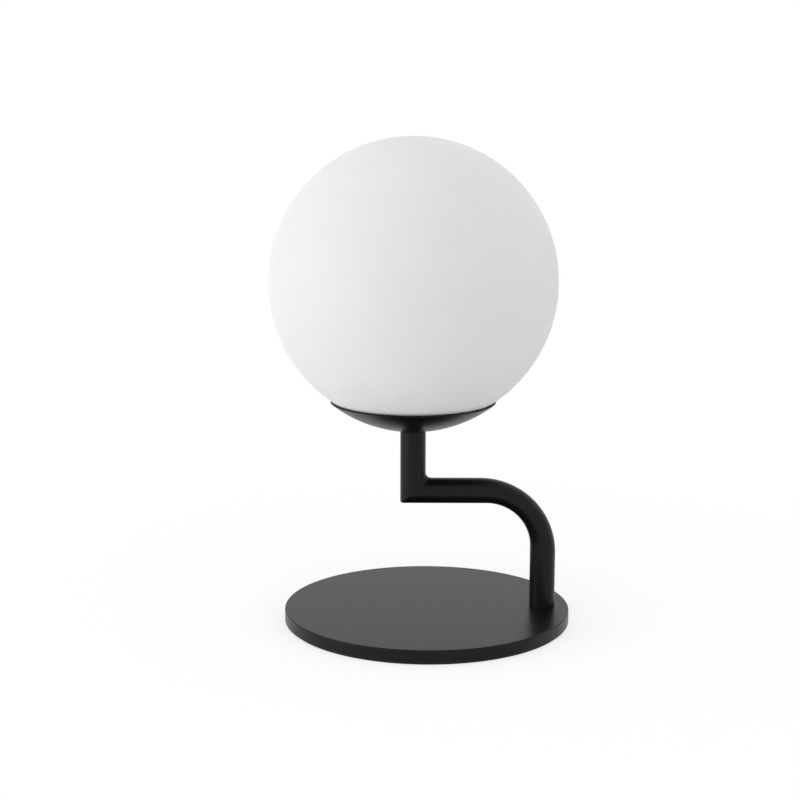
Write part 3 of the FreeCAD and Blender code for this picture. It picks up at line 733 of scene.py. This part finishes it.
class LAMP_OT_cord_grommet(bpy.types.Operator):
    """Rubber inlet with an oval hole, at the rear end of the channel"""
    bl_idname = "lamp.cord_grommet"
    bl_label = "Cord inlet"

    def execute(self, context):
        low, high = (np.array(corner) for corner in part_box("cord_grommet"))
        size = high - low
        lip, depth = GROMMET_EDGE, size[1] / 2
        outside = rounded_loop(size[0], size[2], lip, 8)
        hole = rounded_loop(INLET_WIDTH, INLET_HEIGHT, INLET_HEIGHT / 2, 8)
        drawn_in = outside * (1 - 2 * lip / size[0])
        flared = hole * (1 + lip / INLET_WIDTH)
        rows = [(drawn_in, depth), (outside, depth - lip), (outside, lip - depth),
                (drawn_in, -depth), (flared, -depth), (hole, lip - depth), (hole, depth - lip),
                (flared, depth)]
        grid = np.stack([np.stack([loop[:, 0], np.full(len(loop), y), loop[:, 1]], 1)
                         for loop, y in rows])
        stand_in_for("cord_grommet", [(grid + (low + high) / 2, True)],
                     grained_plastic("black_nitrile_rubber", "#0D0D0E", "#141415", 0.7))
        return {"FINISHED"}


# ---------------------------------------------------------------- tube frame
def eased(value, start, end):
    """0 below start, 1 above end, and a smooth S between."""
    t = np.clip((value - start) / (end - start), 0, 1)
    return t * t * (3 - 2 * t)


def around_tube():
    """Cosine and sine of the angles round a tube, from the arm's top side, which lies outside
    of the bend and inside of the corner."""
    a = np.linspace(0, 2 * np.pi, TUBE_STEPS, endpoint=False)
    return np.cos(a), np.sin(a)


def from_mitre(along, across, up):
    """Points given from the mitre's centre, which lies on the arm's and the riser's axes."""
    return np.stack([STEM_X + along, np.broadcast_to(across, along.shape), ARM_LEVEL + up], -1)


def tip_radius(c):
    """Rounding of the mitre's outer edge: a fine edge all round, more at the outer tip."""
    tip = bpy.context.scene.lamp_sizes.corner_round
    return (SEAM_EDGE * eased(-c, 0.0, SEAM_FULL)
            + (tip - SEAM_EDGE) * eased(-c, TIP_START, TIP_FULL))


def corner_line(radius, c, far, rows, tip_rows=5):
    """One tube's lines from a far place to the mitre plane, as (along, up) from the corner.

    A line that lies radius c above the axis runs level to its mitre end at along = radius c.
    On the outer side an arc ends it on the mitre plane, at 45 degrees."""
    tip = tip_radius(c)
    end = radius * c + tip
    run = np.linspace(0, 1, rows)[:, None]
    a = np.linspace(0, np.pi / 4, tip_rows)[1:, None]
    along = np.vstack([far + (end - far) * run, end - tip * np.sin(a)])
    up = np.vstack([np.repeat(radius * c[None], rows, 0), radius * c + tip * (1 - np.cos(a))])
    return along, up


def arm_side(radius):
    """Bent tube's wall of one radius, foot to mitre, as rows of points round the tube.

    Each line round the tube is bent to its own radius, R + draw times its distance c from the
    axis, about a centre that keeps the arc tangent to the line's own two straight runs. The
    tube bulges a little sideways where it is drawn thin."""
    sizes = bpy.context.scene.lamp_sizes
    c, s = around_tube()
    bend = sizes.bend_radius + sizes.bend_draw * radius * c
    centre_x = FOOT_X + radius * c - bend
    centre_z = ARM_LEVEL + radius * c - bend
    share = np.linspace(0, 1, 8)[:-1, None]
    post = np.stack(np.broadcast_arrays(FOOT_X + radius * c, radius * s,
                                        BASE_BOTTOM + (centre_z - BASE_BOTTOM) * share), -1)
    phi = np.linspace(0, np.pi / 2, 49)[:, None]
    bulge = 1 + BEND_BULGE * (sizes.bend_draw - 1) * np.sin(2 * phi)**2
    bent = np.stack([centre_x + bend * np.cos(phi), radius * s * bulge,
                     centre_z + bend * np.sin(phi)], -1)
    along, up = corner_line(radius, c, centre_x - STEM_X, 8)
    return np.concatenate([post, bent, from_mitre(along, radius * s, up)[1:]])


def riser_side(radius, top):
    """Upright tube's wall of one radius, from its top down to the mitre plane."""
    c, s = around_tube()
    along, up = corner_line(radius, c, top - ARM_LEVEL, 6)
    return from_mitre(up, radius * s, along)


class LAMP_OT_arm_tube(bpy.types.Operator):
    """Post, bend and level arm in one bent tube, mitred at its end"""
    bl_idname = "lamp.arm_tube"
    bl_label = "Bent tube"

    def execute(self, context):
        outside = arm_side(TUBE_RADIUS)
        bore = arm_side(TUBE_RADIUS - context.scene.lamp_sizes.tube_wall)
        half = CHANNEL_WIDTH / 2
        notch = brick((FOOT_X - 2 * TUBE_RADIUS, FOOT_X), (-half, half), (0, CHANNEL_TOP))
        stand_in_for("arm_tube", [(np.concatenate([outside, bore[::-1]]), True)], powder_coat(),
                     cuts=[notch])
        return {"FINISHED"}


class LAMP_OT_riser_tube(bpy.types.Operator):
    """Short upright tube on the mitre, bored out at its top for the nipple"""
    bl_idname = "lamp.riser_tube"
    bl_label = "Riser"

    def execute(self, context):
        outside = riser_side(TUBE_RADIUS, RISER_TOP - JOINT_EDGE)
        shoulder = span("cup_nipple", 2)[0]
        bore = riser_side(TUBE_RADIUS - context.scene.lamp_sizes.tube_wall, shoulder)
        mouth = turned(np.array([(NIPPLE_HOLE, shoulder), (NIPPLE_HOLE, RISER_TOP),
                                 (TUBE_RADIUS - JOINT_EDGE, RISER_TOP)]), STEM_X, TUBE_STEPS)
        stand_in_for("riser_tube", [(np.concatenate([outside, bore[::-1], mouth]), True)],
                     powder_coat())
        return {"FINISHED"}


class LAMP_OT_corner_weld(bpy.types.Operator):
    """Hollow weld in the inner corner of the mitre, thinning out down both sides"""
    bl_idname = "lamp.corner_weld"
    bl_label = "Corner weld"

    def execute(self, context):
        limit = math.acos(WELD_REACH)
        a = np.linspace(-limit, limit, 49)[:, None]
        c, s = np.cos(a), np.sin(a)
        swell = eased(c, WELD_REACH, WELD_FULL)
        throat = context.scene.lamp_sizes.corner_weld * swell
        hollow = throat * (1 + RIPPLE_DEPTH * np.sin(RIPPLE_COUNT * a) * swell)
        turn = np.linspace(0, np.pi / 2, 13)[None]
        centre = TUBE_RADIUS * c + throat
        along = np.hstack([centre - hollow * np.sin(turn), TUBE_RADIUS * c])
        up = np.hstack([centre - hollow * np.cos(turn), TUBE_RADIUS * c])
        stand_in_for("corner_weld", [from_mitre(along, TUBE_RADIUS * s, up)], powder_coat())
        return {"FINISHED"}


# ---------------------------------------------------------------- cup
def bowl_outline():
    """Cup's outline: flat middle, two spherical walls about one centre, and an upright lip."""
    wall = bpy.context.scene.lamp_sizes.cup_wall
    lip_start = CUP_RIM - CUP_LIP
    depth = lip_start - CUP_BOTTOM
    rise = (CUP_RADIUS**2 + depth**2 - CUP_FLAT**2) / (2 * depth)
    radius = math.hypot(CUP_FLAT, rise)
    centre, floor = CUP_BOTTOM + rise, CUP_BOTTOM + wall
    inner, mouth = radius - wall, CUP_RADIUS - wall
    outside = arc_points(centre, radius, math.atan2(-rise, CUP_FLAT),
                         math.atan2(lip_start - centre, CUP_RADIUS), 64)
    inside = arc_points(centre, inner, -math.acos(mouth / inner),
                        -math.asin((centre - floor) / inner), 64)
    bead = rounded([(CUP_RADIUS, lip_start, 0), (CUP_RADIUS, CUP_RIM, CUP_BEAD),
                    (mouth, CUP_RIM, CUP_BEAD), (mouth, lip_start, 0)], steps=5, hold=0.2)[1:-1]
    return np.vstack([[(NIPPLE_HOLE, floor), (NIPPLE_HOLE, CUP_BOTTOM),
                       (CUP_FLAT * FLAT_HOLD_UNDER, CUP_BOTTOM)],
                      outside, bead, inside, [(CUP_FLAT * FLAT_HOLD_INSIDE, floor)]])


class LAMP_OT_cup(bpy.types.Operator):
    """Spun steel cup under the globe, with the turned ring that it stands on"""
    bl_idname = "lamp.cup"
    bl_label = "Cup and neck ring"

    def execute(self, context):
        coat = powder_coat()
        stand_in_for("shade_cup", [ring(bowl_outline(), WIDE_STEPS)], coat)
        low, high = span("neck_ring", 2)
        wide = half_width("neck_ring")
        a = np.linspace(0, np.pi / 2, 9)
        flare = np.stack([wide - (wide - TUBE_RADIUS + JOINT_EDGE) * np.cos(a),
                          low + (high - RING_EDGE - low) * np.sin(a)], 1)
        outline = np.vstack([[(NIPPLE_HOLE, high), (NIPPLE_HOLE, low)], flare, [(wide, high)]])
        stand_in_for("neck_ring", [ring(outline)], coat)
        return {"FINISHED"}


# ---------------------------------------------------------------- carrier
def collar_radius():
    """Outside of the carrier's collar, which the globe's mouth goes over."""
    return bpy.context.scene.lamp_sizes.mouth_radius - COLLAR_GAP


class LAMP_OT_glass_carrier(bpy.types.Operator):
    """Pressed plate with a flange and a collar that the globe's mouth goes over"""
    bl_idname = "lamp.glass_carrier"
    bl_label = "Glass carrier"

    def execute(self, context):
        sheet, rim, collar = CARRIER_SHEET, CARRIER_RIM, collar_radius()
        low, high = span("glass_carrier", 2)
        shelf = span("mouth_gasket", 2)[0]
        flange = half_width("glass_carrier")
        foot = CUP_FLAT - context.scene.lamp_sizes.cup_wall
        outline = rounded([(NIPPLE_HOLE, low, 0), (foot, low, CARRIER_BEND),
                           (collar, shelf - sheet, CARRIER_BEND),
                           (flange, shelf - sheet, rim), (flange, shelf, rim),
                           (collar, shelf, CARRIER_CREASE), (collar, high, rim),
                           (collar - sheet, high, rim), (collar - sheet, shelf, sheet + rim),
                           (foot, low + sheet, sheet), (NIPPLE_HOLE, low + sheet, 0)], hold=0.2)
        stand_in_for("glass_carrier", [ring(outline)],
                     bare_metal("zinc_plated_steel", "#B4B7B8", "#C9CCCB", 0.3))
        return {"FINISHED"}


class LAMP_OT_mouth_gasket(bpy.types.Operator):
    """Silicone ring under the globe's mouth"""
    bl_idname = "lamp.mouth_gasket"
    bl_label = "Mouth gasket"

    def execute(self, context):
        low, high = span("mouth_gasket", 2)
        inner = collar_radius() + SLIP
        outer = half_width("mouth_gasket")
        soft = (high - low) / 3
        outline = rounded([(inner, low, soft), (outer, low, soft), (outer, high, soft),
                           (inner, high, soft)])
        stand_in_for("mouth_gasket", [ring(outline)], silicone())
        return {"FINISHED"}


class LAMP_OT_spring_clips(bpy.types.Operator):
    """Three bowed leaf springs round the collar"""
    bl_idname = "lamp.spring_clips"
    bl_label = "Spring clips"

    def execute(self, context):
        low, high = span("spring_clips", 2)
        collar = collar_radius()
        bow = COLLAR_GAP - RUNNING_GAP - SLIP - SPRING_SHEET
        loop = rounded_loop(SPRING_WIDTH, SPRING_SHEET, SPRING_CORNER, 3, 16)
        level = np.linspace(low, high, 25)[:, None]
        lift = bow * (1 - ((2 * level - low - high) / (high - low))**2)
        reach = collar + SLIP + SPRING_SHEET / 2 + lift + loop[:, 1]
        leaves = [capped(about_stem(reach, turn + loop[:, 0] / collar, level))
                  for turn in np.arange(SPRING_COUNT) * 2 * np.pi / SPRING_COUNT]
        stand_in_for("spring_clips", leaves,
                     bare_metal("sprung_stainless_steel", "#A9ABA9", "#BDBFBC", 0.25, (1, 1, 6)))
        return {"FINISHED"}


# ---------------------------------------------------------------- fasteners
def threaded_side(radius, low, high):
    """Screw thread: radius - depth times a triangle wave of (level / pitch - turn), fading out
    over half a pitch at both ends. There are 8 rows to a pitch."""
    rows = int((high - low) / THREAD_PITCH * 8) + 1
    level = np.linspace(low, high, rows)[:, None]
    a = np.linspace(0, 2 * np.pi, MEDIUM_STEPS, endpoint=False)
    phase = (level - low) / THREAD_PITCH - a / (2 * np.pi)
    wave = np.abs(2 * (phase - np.floor(phase)) - 1)
    ends = np.minimum(level - low, high - level) / (THREAD_PITCH / 2)
    return about_stem(radius - THREAD_DEPTH * np.maximum(wave, 1 - np.clip(ends, 0, 1)), a, level)


def hexagon_side(flats, low, high):
    """Nut's six sides: reach = half the flats / cos(angle from the middle of a flat), and no
    more than the two chamfer cones allow."""
    a = np.linspace(0, 2 * np.pi, MEDIUM_STEPS, endpoint=False)
    hexagon = flats / 2 / np.cos(np.mod(a, np.pi / 3) - np.pi / 6)
    bevel = (high - low) * NUT_BEVEL
    share = np.linspace(0, 1, 10)**2
    level = np.concatenate([low + bevel * share, high - bevel * share[::-1]])[:, None]
    room = np.minimum(level - low, high - level)
    return about_stem(np.minimum(hexagon, flats / 2 * NUT_FACE + room / math.tan(NUT_CONE)), a, level)


class LAMP_OT_fasteners(bpy.types.Operator):
    """Threaded nipple, washer and nut that clamp the cup and the carrier"""
    bl_idname = "lamp.fasteners"
    bl_label = "Nipple, washer and nut"

    def execute(self, context):
        plated = bare_metal("zinc_plated_steel_turned", "#A8ABAD", "#C2C5C6", 0.26)
        low, high = span("cup_nipple", 2)
        outside = threaded_side(NIPPLE_RADIUS, low, high)
        bore = turned(np.array([(NIPPLE_BORE, high), (NIPPLE_BORE, low)]), STEM_X, MEDIUM_STEPS)
        stand_in_for("cup_nipple", [(np.concatenate([outside, bore]), True)], plated)
        low, high = span("cup_washer", 2)
        wide, edge = half_width("cup_washer"), (high - low) / 4
        outline = rounded([(NIPPLE_HOLE, low, 0), (wide, low, edge), (wide, high, edge),
                           (NIPPLE_HOLE, high, 0)])
        stand_in_for("cup_washer", [ring(outline)], plated)
        low, high = span("cup_nut", 2)
        outside = hexagon_side(2 * half_width("cup_nut", 1), low, high)
        hole = turned(np.array([(NIPPLE_HOLE, high), (NIPPLE_HOLE, low)]), STEM_X, MEDIUM_STEPS)
        stand_in_for("cup_nut", [(np.concatenate([outside, hole]), True)], plated, crease=25)
        return {"FINISHED"}


# ---------------------------------------------------------------- wiring
class LAMP_OT_wiring(bpy.types.Operator):
    """Two internal wires, their splices in the base and the sleeves below the lampholder"""
    bl_idname = "lamp.wiring"
    bl_label = "Wiring"

    def execute(self, context):
        dress("live_lead", grained_plastic("brown_pvc_insulation", "#4A2817", "#55301D", 0.45))
        dress("neutral_lead", grained_plastic("blue_pvc_insulation", "#1F4A8C", "#285699", 0.45))
        dress("lead_splices", grained_plastic("heat_shrunk_polyolefin", "#141414", "#1E1E1E", 0.5))
        low, high = span("lead_sleeves", 2)
        turn = math.atan2(PIN_OFFSET - LEAD_OFFSET, high - low - 2 * SPLAY_RUN)
        bend = SPLAY_SHARE * SPLAY_RUN / math.tan(turn / 2)
        sleeves = []
        for side in (1, -1):
            near, far = side * LEAD_OFFSET, side * PIN_OFFSET
            path = bent_path([(STEM_X, near, low), (STEM_X, near, low + SPLAY_RUN),
                              (STEM_X, far, high - SPLAY_RUN), (STEM_X, far, high)],
                             bend, SLEEVE_STEP)
            outside = swept(path, circle(LEAD_RADIUS + SLEEVE_WALL, LEAD_STEPS))
            inside = swept(path, circle(LEAD_RADIUS + SLIP, LEAD_STEPS))
            sleeves.append((np.concatenate([outside, inside[::-1]]), True))
        stand_in_for("lead_sleeves", sleeves, braided_sleeve())
        return {"FINISHED"}


# ---------------------------------------------------------------- lampholder
class LAMP_OT_socket_bracket(bpy.types.Operator):
    """Stirrup bent from steel strip, with the nipple's hole and two screw holes"""
    bl_idname = "lamp.socket_bracket"
    bl_label = "Stirrup"

    def execute(self, context):
        low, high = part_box("socket_bracket")
        width = high[0] - low[0]
        out = high[1] - BRACKET_SHEET / 2
        bottom = low[2] + BRACKET_SHEET / 2
        path = bent_path([(STEM_X, -out, high[2]), (STEM_X, -out, bottom), (STEM_X, out, bottom),
                          (STEM_X, out, high[2])], BRACKET_BEND, BRACKET_STEP)
        strip = swept(path, rounded_loop(BRACKET_SHEET, width, BRACKET_EDGE, 4))
        hole = plug(NIPPLE_HOLE, low[2] - CUTTER_REACH, bottom + CUTTER_REACH, steps=SMALL_STEPS)
        x, z = circle(SCREW_RADIUS + SLIP, LEAD_STEPS).T
        drill = np.stack([np.stack([STEM_X + x, np.full(LEAD_STEPS, y), SCREW_LEVEL + z], 1)
                          for y in (-2 * out, 2 * out)])
        stand_in_for("socket_bracket", [capped(strip)],
                     bare_metal("zinc_plated_strip", "#AEB1B2", "#C4C7C7", 0.32, (1, 8, 8)),
                     cuts=[hole, capped(drill)])
        return {"FINISHED"}


class LAMP_OT_lampholder(bpy.types.Operator):
    """Ceramic lampholder with two pockets, and the contacts in them"""
    bl_idname = "lamp.lampholder"
    bl_label = "Lampholder"

    def execute(self, context):
        low, high = (np.array(corner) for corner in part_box("socket_body"))
        half_x, half_y = POCKET_SIZE[0] / 2, POCKET_SIZE[1] / 2
        floor = high[2] - POCKET_SIZE[2]
        wire_hole = plug(LEAD_RADIUS + SLIP, low[2] - CUTTER_REACH, floor + CUTTER_REACH,
                         steps=LEAD_STEPS)
        pockets = []
        for y in (-PIN_OFFSET, PIN_OFFSET):
            pockets.append(brick((STEM_X - half_x, STEM_X + half_x), (y - half_y, y + half_y),
                                 (floor, high[2] + CUTTER_REACH)))
            pockets.append(wire_hole + np.array([0, y, 0]))
        body = slab((low + high) / 2, high - low, SOCKET_CORNER, SOCKET_EDGE)
        stand_in_for("socket_body", [body], ceramic(), cuts=pockets)
        dress("socket_contacts", bare_metal("nickel_plated_brass", "#B9B39C", "#C9C4AE", 0.28))
        return {"FINISHED"}


class LAMP_OT_socket_screws(bpy.types.Operator):
    """Two small pan-head screws with cross recesses"""
    bl_idname = "lamp.socket_screws"
    bl_label = "Lampholder screws"

    def execute(self, context):
        low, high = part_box("socket_screws")
        top = high[1]
        seat = top - HEAD_HEIGHT
        head = (high[0] - low[0]) / 2
        tip = half_width("socket_body", 1) - SCREW_BITE
        upright = turned(rounded([(0, top, 0), (head, top, HEAD_CROWN), (head, seat, HEAD_EDGE),
                                  (SCREW_RADIUS, seat, 0), (SCREW_RADIUS, tip, SCREW_TIP),
                                  (0, tip, 0)]), 0.0, SMALL_STEPS)
        screws, recesses = [], []
        for side in (-1, 1):
            screws.append(np.stack([STEM_X + upright[..., 0], side * upright[..., 2],
                                    SCREW_LEVEL + upright[..., 1]], -1))
            depth = sorted((side * (top - HEAD_HEIGHT / 2), side * (top + CUTTER_REACH)))
            for wide, tall in ((head, head * CROSS_SLOT), (head * CROSS_SLOT, head)):
                recesses.append(brick((STEM_X - wide / 2, STEM_X + wide / 2), depth,
                                      (SCREW_LEVEL - tall / 2, SCREW_LEVEL + tall / 2)))
        stand_in_for("socket_screws", screws,
                     bare_metal("blackened_steel", "#2B2A29", "#383634", 0.35), cuts=recesses)
        return {"FINISHED"}


# ---------------------------------------------------------------- bulb
class LAMP_OT_bulb(bpy.types.Operator):
    """Small pin-base bulb: foot and collar, clear dome, and the board inside"""
    bl_idname = "lamp.bulb"
    bl_label = "Bulb"

    def execute(self, context):
        low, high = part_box("bulb_base")
        foot_top = low[2] + BULB_FOOT[2]
        foot = slab(np.array([STEM_X, 0, (low[2] + foot_top) / 2]), np.array(BULB_FOOT),
                    SOCKET_CORNER, BULB_FOOT_EDGE)
        collar = (high[0] - low[0]) / 2
        dome = half_width("bulb_envelope")
        seat, top = span("bulb_envelope", 2)
        sleeve = rounded([(0, seat, 0), (dome + SLIP, seat, 0), (dome + SLIP, high[2], 0),
                          (collar, high[2], BULB_COLLAR_TOP), (collar, foot_top, BULB_COLLAR_FOOT),
                          (0, foot_top, 0)])
        stand_in_for("bulb_base", [foot, turned(sleeve, STEM_X)],
                     grained_plastic("white_moulded_pbt", "#E4E4E0", "#EAEAE6", 0.4), "bulb")
        inner = dome - BULB_WALL
        outside = arc_points(top - dome, dome, 0, np.pi / 2, 24)
        inside = arc_points(top - dome, inner, np.pi / 2, 0, 24)
        outside[-1, 0] = inside[0, 0] = 0
        outline = np.vstack([[(inner, seat), (dome, seat)], outside, inside])
        stand_in_for("bulb_envelope", [ring(outline, MEDIUM_STEPS)], clear_cover(), "bulb")
        dress("led_board", grained_plastic("white_solder_mask", "#DDE2DD", "#E6EAE6", 0.35))
        dress("led_chips", grained_plastic("phosphor_silicone", "#E3B431", "#EBC24A", 0.3))
        return {"FINISHED"}


class LAMP_OT_bulb_pins(bpy.types.Operator):
    """Two looped wire pins under the bulb"""
    bl_idname = "lamp.bulb_pins"
    bl_label = "Bulb pins"

    def execute(self, context):
        low, high = span("bulb_pins", 2)
        wire = half_width("bulb_pins")
        out = PIN_WIDTH / 2 - wire
        turn = low + PIN_WIDTH / 2
        a = np.linspace(np.pi, 2 * np.pi, 25)
        loops = []
        for y in (-PIN_OFFSET, PIN_OFFSET):
            bow = np.stack([np.full(len(a), STEM_X), y + out * np.cos(a), turn + out * np.sin(a)], 1)
            path = np.vstack([[(STEM_X, y - out, high), (STEM_X, y - out, (high + turn) / 2)], bow,
                              [(STEM_X, y + out, (high + turn) / 2), (STEM_X, y + out, high)]])
            loops.append(capped(swept(path, circle(wire, PIN_STEPS))))
        stand_in_for("bulb_pins", loops, bare_metal("nickel_wire", "#B5B5B0", "#C6C6C1", 0.3), "bulb")
        return {"FINISHED"}


# ---------------------------------------------------------------- globe
class LAMP_OT_glass_globe(bpy.types.Operator):
    """Hollow opal ball with a ground mouth at the bottom"""
    bl_idname = "lamp.glass_globe"
    bl_label = "Globe"

    def execute(self, context):
        sizes = context.scene.lamp_sizes
        mouth, edge = sizes.mouth_radius, GLASS_EDGE
        centre = GLOBE_TOP - GLOBE_RADIUS
        inner = GLOBE_RADIUS - sizes.globe_wall
        land = math.sqrt(GLOBE_RADIUS**2 - (centre - MOUTH_LEVEL)**2)
        outside = arc_points(centre, GLOBE_RADIUS, math.pi / 2,
                             -math.acos((land + edge) / GLOBE_RADIUS), 160)
        inside = arc_points(centre, inner, -math.acos(mouth / inner), math.pi / 2, 160)
        outside[0, 0] = inside[-1, 0] = 0
        lip = rounded([(*outside[-1], 0), (land - edge / 2, MOUTH_LEVEL, edge / 2),
                       (mouth, MOUTH_LEVEL, edge / 2), (mouth, inside[0, 1], 0)])[1:-1]
        stand_in_for("glass_globe", [ring(np.vstack([outside, lip, inside]), WIDE_STEPS)],
                     opal_glass(), "globe", crease=60)
        return {"FINISHED"}


# ---------------------------------------------------------------- stage
def white_to_the_eye(tree, shown, lit, share):
    """Shows one shader to camera, glossy and transmission rays, and another to the rest. Where
    the share is below 1, the eye sees that much of the first one over the second."""
    path = add(tree, "ShaderNodeLightPath")
    seen = path.outputs["Is Camera Ray"]
    for name in ("Is Glossy Ray", "Is Transmission Ray"):
        seen = add(tree, "ShaderNodeMath", {0: seen, 1: path.outputs[name]},
                   operation="MAXIMUM").outputs[0]
    part = add(tree, "ShaderNodeMath", {0: seen, 1: share}, operation="MULTIPLY").outputs[0]
    return add(tree, "ShaderNodeMixShader", {0: part, 1: lit, 2: shown}).outputs[0]


def floor_material():
    """Matt white paper: it takes the lamp's shadow near the base, and is plain white further out."""
    material, tree = new_material("matt_white_paper")
    place = add(tree, "ShaderNodeTexCoord")
    away = add(tree, "ShaderNodeVectorMath", {0: place.outputs["Object"]}, operation="LENGTH")
    share = add(tree, "ShaderNodeMapRange", {
        "Value": away.outputs["Value"], "From Min": SHADOW_NEAR, "From Max": SHADOW_FAR,
        "To Min": bpy.context.scene.lamp_stage.floor_white, "To Max": 1.0},
        interpolation_type="SMOOTHSTEP")
    paper = add(tree, "ShaderNodeBsdfDiffuse", {"Color": linear("#FCFCFC")})
    white = add(tree, "ShaderNodeEmission", {"Color": linear("#FFFFFF"), "Strength": 1.0})
    add(tree, "ShaderNodeOutputMaterial", {
        "Surface": white_to_the_eye(tree, white.outputs[0], paper.outputs[0], share.outputs[0])})
    return material


def set_world():
    """White to the eye; as light, it changes evenly from its bright side to its dim side."""
    stage = bpy.context.scene.lamp_stage
    world = bpy.data.worlds.new("studio")
    bpy.context.scene.world = world
    tree = emptied(world)
    place = add(tree, "ShaderNodeTexCoord")
    side = add(tree, "ShaderNodeVectorMath", {
        0: place.outputs["Generated"], 1: Vector(stage.fill_from).normalized()},
        operation="DOT_PRODUCT")
    level = add(tree, "ShaderNodeMapRange", {
        "Value": side.outputs["Value"], "From Min": -1.0, "From Max": 1.0,
        "To Min": stage.dim_side, "To Max": stage.bright_side})
    lit = add(tree, "ShaderNodeBackground", {
        "Color": linear("#FFFFFF"), "Strength": level.outputs[0]})
    white = add(tree, "ShaderNodeBackground", {"Color": linear("#FFFFFF"), "Strength": 1.0})
    add(tree, "ShaderNodeOutputWorld", {
        "Surface": white_to_the_eye(tree, white.outputs[0], lit.outputs[0], 1.0)})


def add_floor():
    """Flat square far larger than the object."""
    half = FLOOR_SIZE / 2
    mesh = bpy.data.meshes.new("floor")
    mesh.from_pydata([(-half, -half, 0), (half, -half, 0), (half, half, 0), (-half, half, 0)], [],
                     [(0, 1, 2, 3)])
    mesh.materials.append(floor_material())
    floor = bpy.data.objects.new("floor", mesh)
    bpy.context.scene.collection.objects.link(floor)


def add_key_lamp():
    """Low rectangular area lamp that faces the middle of the object."""
    stage = bpy.context.scene.lamp_stage
    lamp = bpy.data.lights.new("key", "AREA")
    lamp.shape = "RECTANGLE"
    lamp.size, lamp.size_y = stage.key_size
    lamp.energy = stage.key_power
    lamp.color = linear(stage.key_tint)[:3]
    holder = bpy.data.objects.new("key", lamp)
    holder.location = stage.key_place
    aim = Vector((0, 0, (GLOBE_TOP + BASE_BOTTOM) / 2)) - Vector(stage.key_place)
    holder.rotation_euler = aim.to_track_quat("-Z", "Y").to_euler()
    bpy.context.scene.collection.objects.link(holder)


def add_camera():
    """Camera at its place: turned to the left by its swing, down by its dip, and rolled."""
    scene = bpy.context.scene
    view = scene.lamp_camera
    camera = bpy.data.cameras.new("camera")
    camera.sensor_width = SENSOR
    camera.lens = view.lens
    camera.clip_start = 10 * MM
    holder = bpy.data.objects.new("camera", camera)
    turn = (Matrix.Rotation(view.swing, 4, "Z") @ Matrix.Rotation(math.pi / 2 - view.dip, 4, "X")
            @ Matrix.Rotation(view.lean, 4, "Z"))
    holder.matrix_world = Matrix.Translation(view.place) @ turn
    scene.collection.objects.link(holder)
    scene.camera = holder


class LAMP_OT_stage(bpy.types.Operator):
    """White floor, soft light from the left, and the camera"""
    bl_idname = "lamp.stage"
    bl_label = "Stage, lights and camera"

    def execute(self, context):
        add_floor()
        set_world()
        add_key_lamp()
        add_camera()
        context.scene.view_settings.view_transform = "Standard"
        return {"FINISHED"}


class LAMP_PT_parts(bpy.types.Panel):
    """Lists the lamp's pieces, in the order they are made"""
    bl_idname = "LAMP_PT_parts"
    bl_label = "Globe lamp"
    bl_space_type = "VIEW_3D"
    bl_region_type = "UI"
    bl_category = "Globe Lamp"

    def draw(self, context):
        for group in PROPERTIES:
            box = self.layout.box()
            for name in group.__annotations__:
                box.prop(getattr(context.scene, POINTERS[group]), name)
        for piece in OPERATORS:
            self.layout.operator(piece.bl_idname)


OPERATORS = (LAMP_OT_base_plate, LAMP_OT_base_pad, LAMP_OT_cord_grommet, LAMP_OT_arm_tube,
             LAMP_OT_riser_tube, LAMP_OT_corner_weld, LAMP_OT_cup, LAMP_OT_glass_carrier,
             LAMP_OT_mouth_gasket, LAMP_OT_spring_clips, LAMP_OT_fasteners, LAMP_OT_wiring,
             LAMP_OT_socket_bracket, LAMP_OT_lampholder, LAMP_OT_socket_screws, LAMP_OT_bulb,
             LAMP_OT_bulb_pins, LAMP_OT_glass_globe, LAMP_OT_stage)
POINTERS = {LampFinish: "lamp_finish", LampSizes: "lamp_sizes", LampStage: "lamp_stage",
            LampCamera: "lamp_camera"}
PROPERTIES = tuple(POINTERS)


def register():
    for group in PROPERTIES + OPERATORS + (LAMP_PT_parts,):
        bpy.utils.register_class(group)
    for group, name in POINTERS.items():
        setattr(bpy.types.Scene, name, bpy.props.PointerProperty(type=group))


def unregister():
    for name in POINTERS.values():
        delattr(bpy.types.Scene, name)
    for group in reversed(PROPERTIES + OPERATORS + (LAMP_PT_parts,)):
        bpy.utils.unregister_class(group)


def main():
    register()
    for piece in OPERATORS:
        family, name = piece.bl_idname.split(".")
        getattr(getattr(bpy.ops, family), name)()


if __name__ == "__main__":
    main()
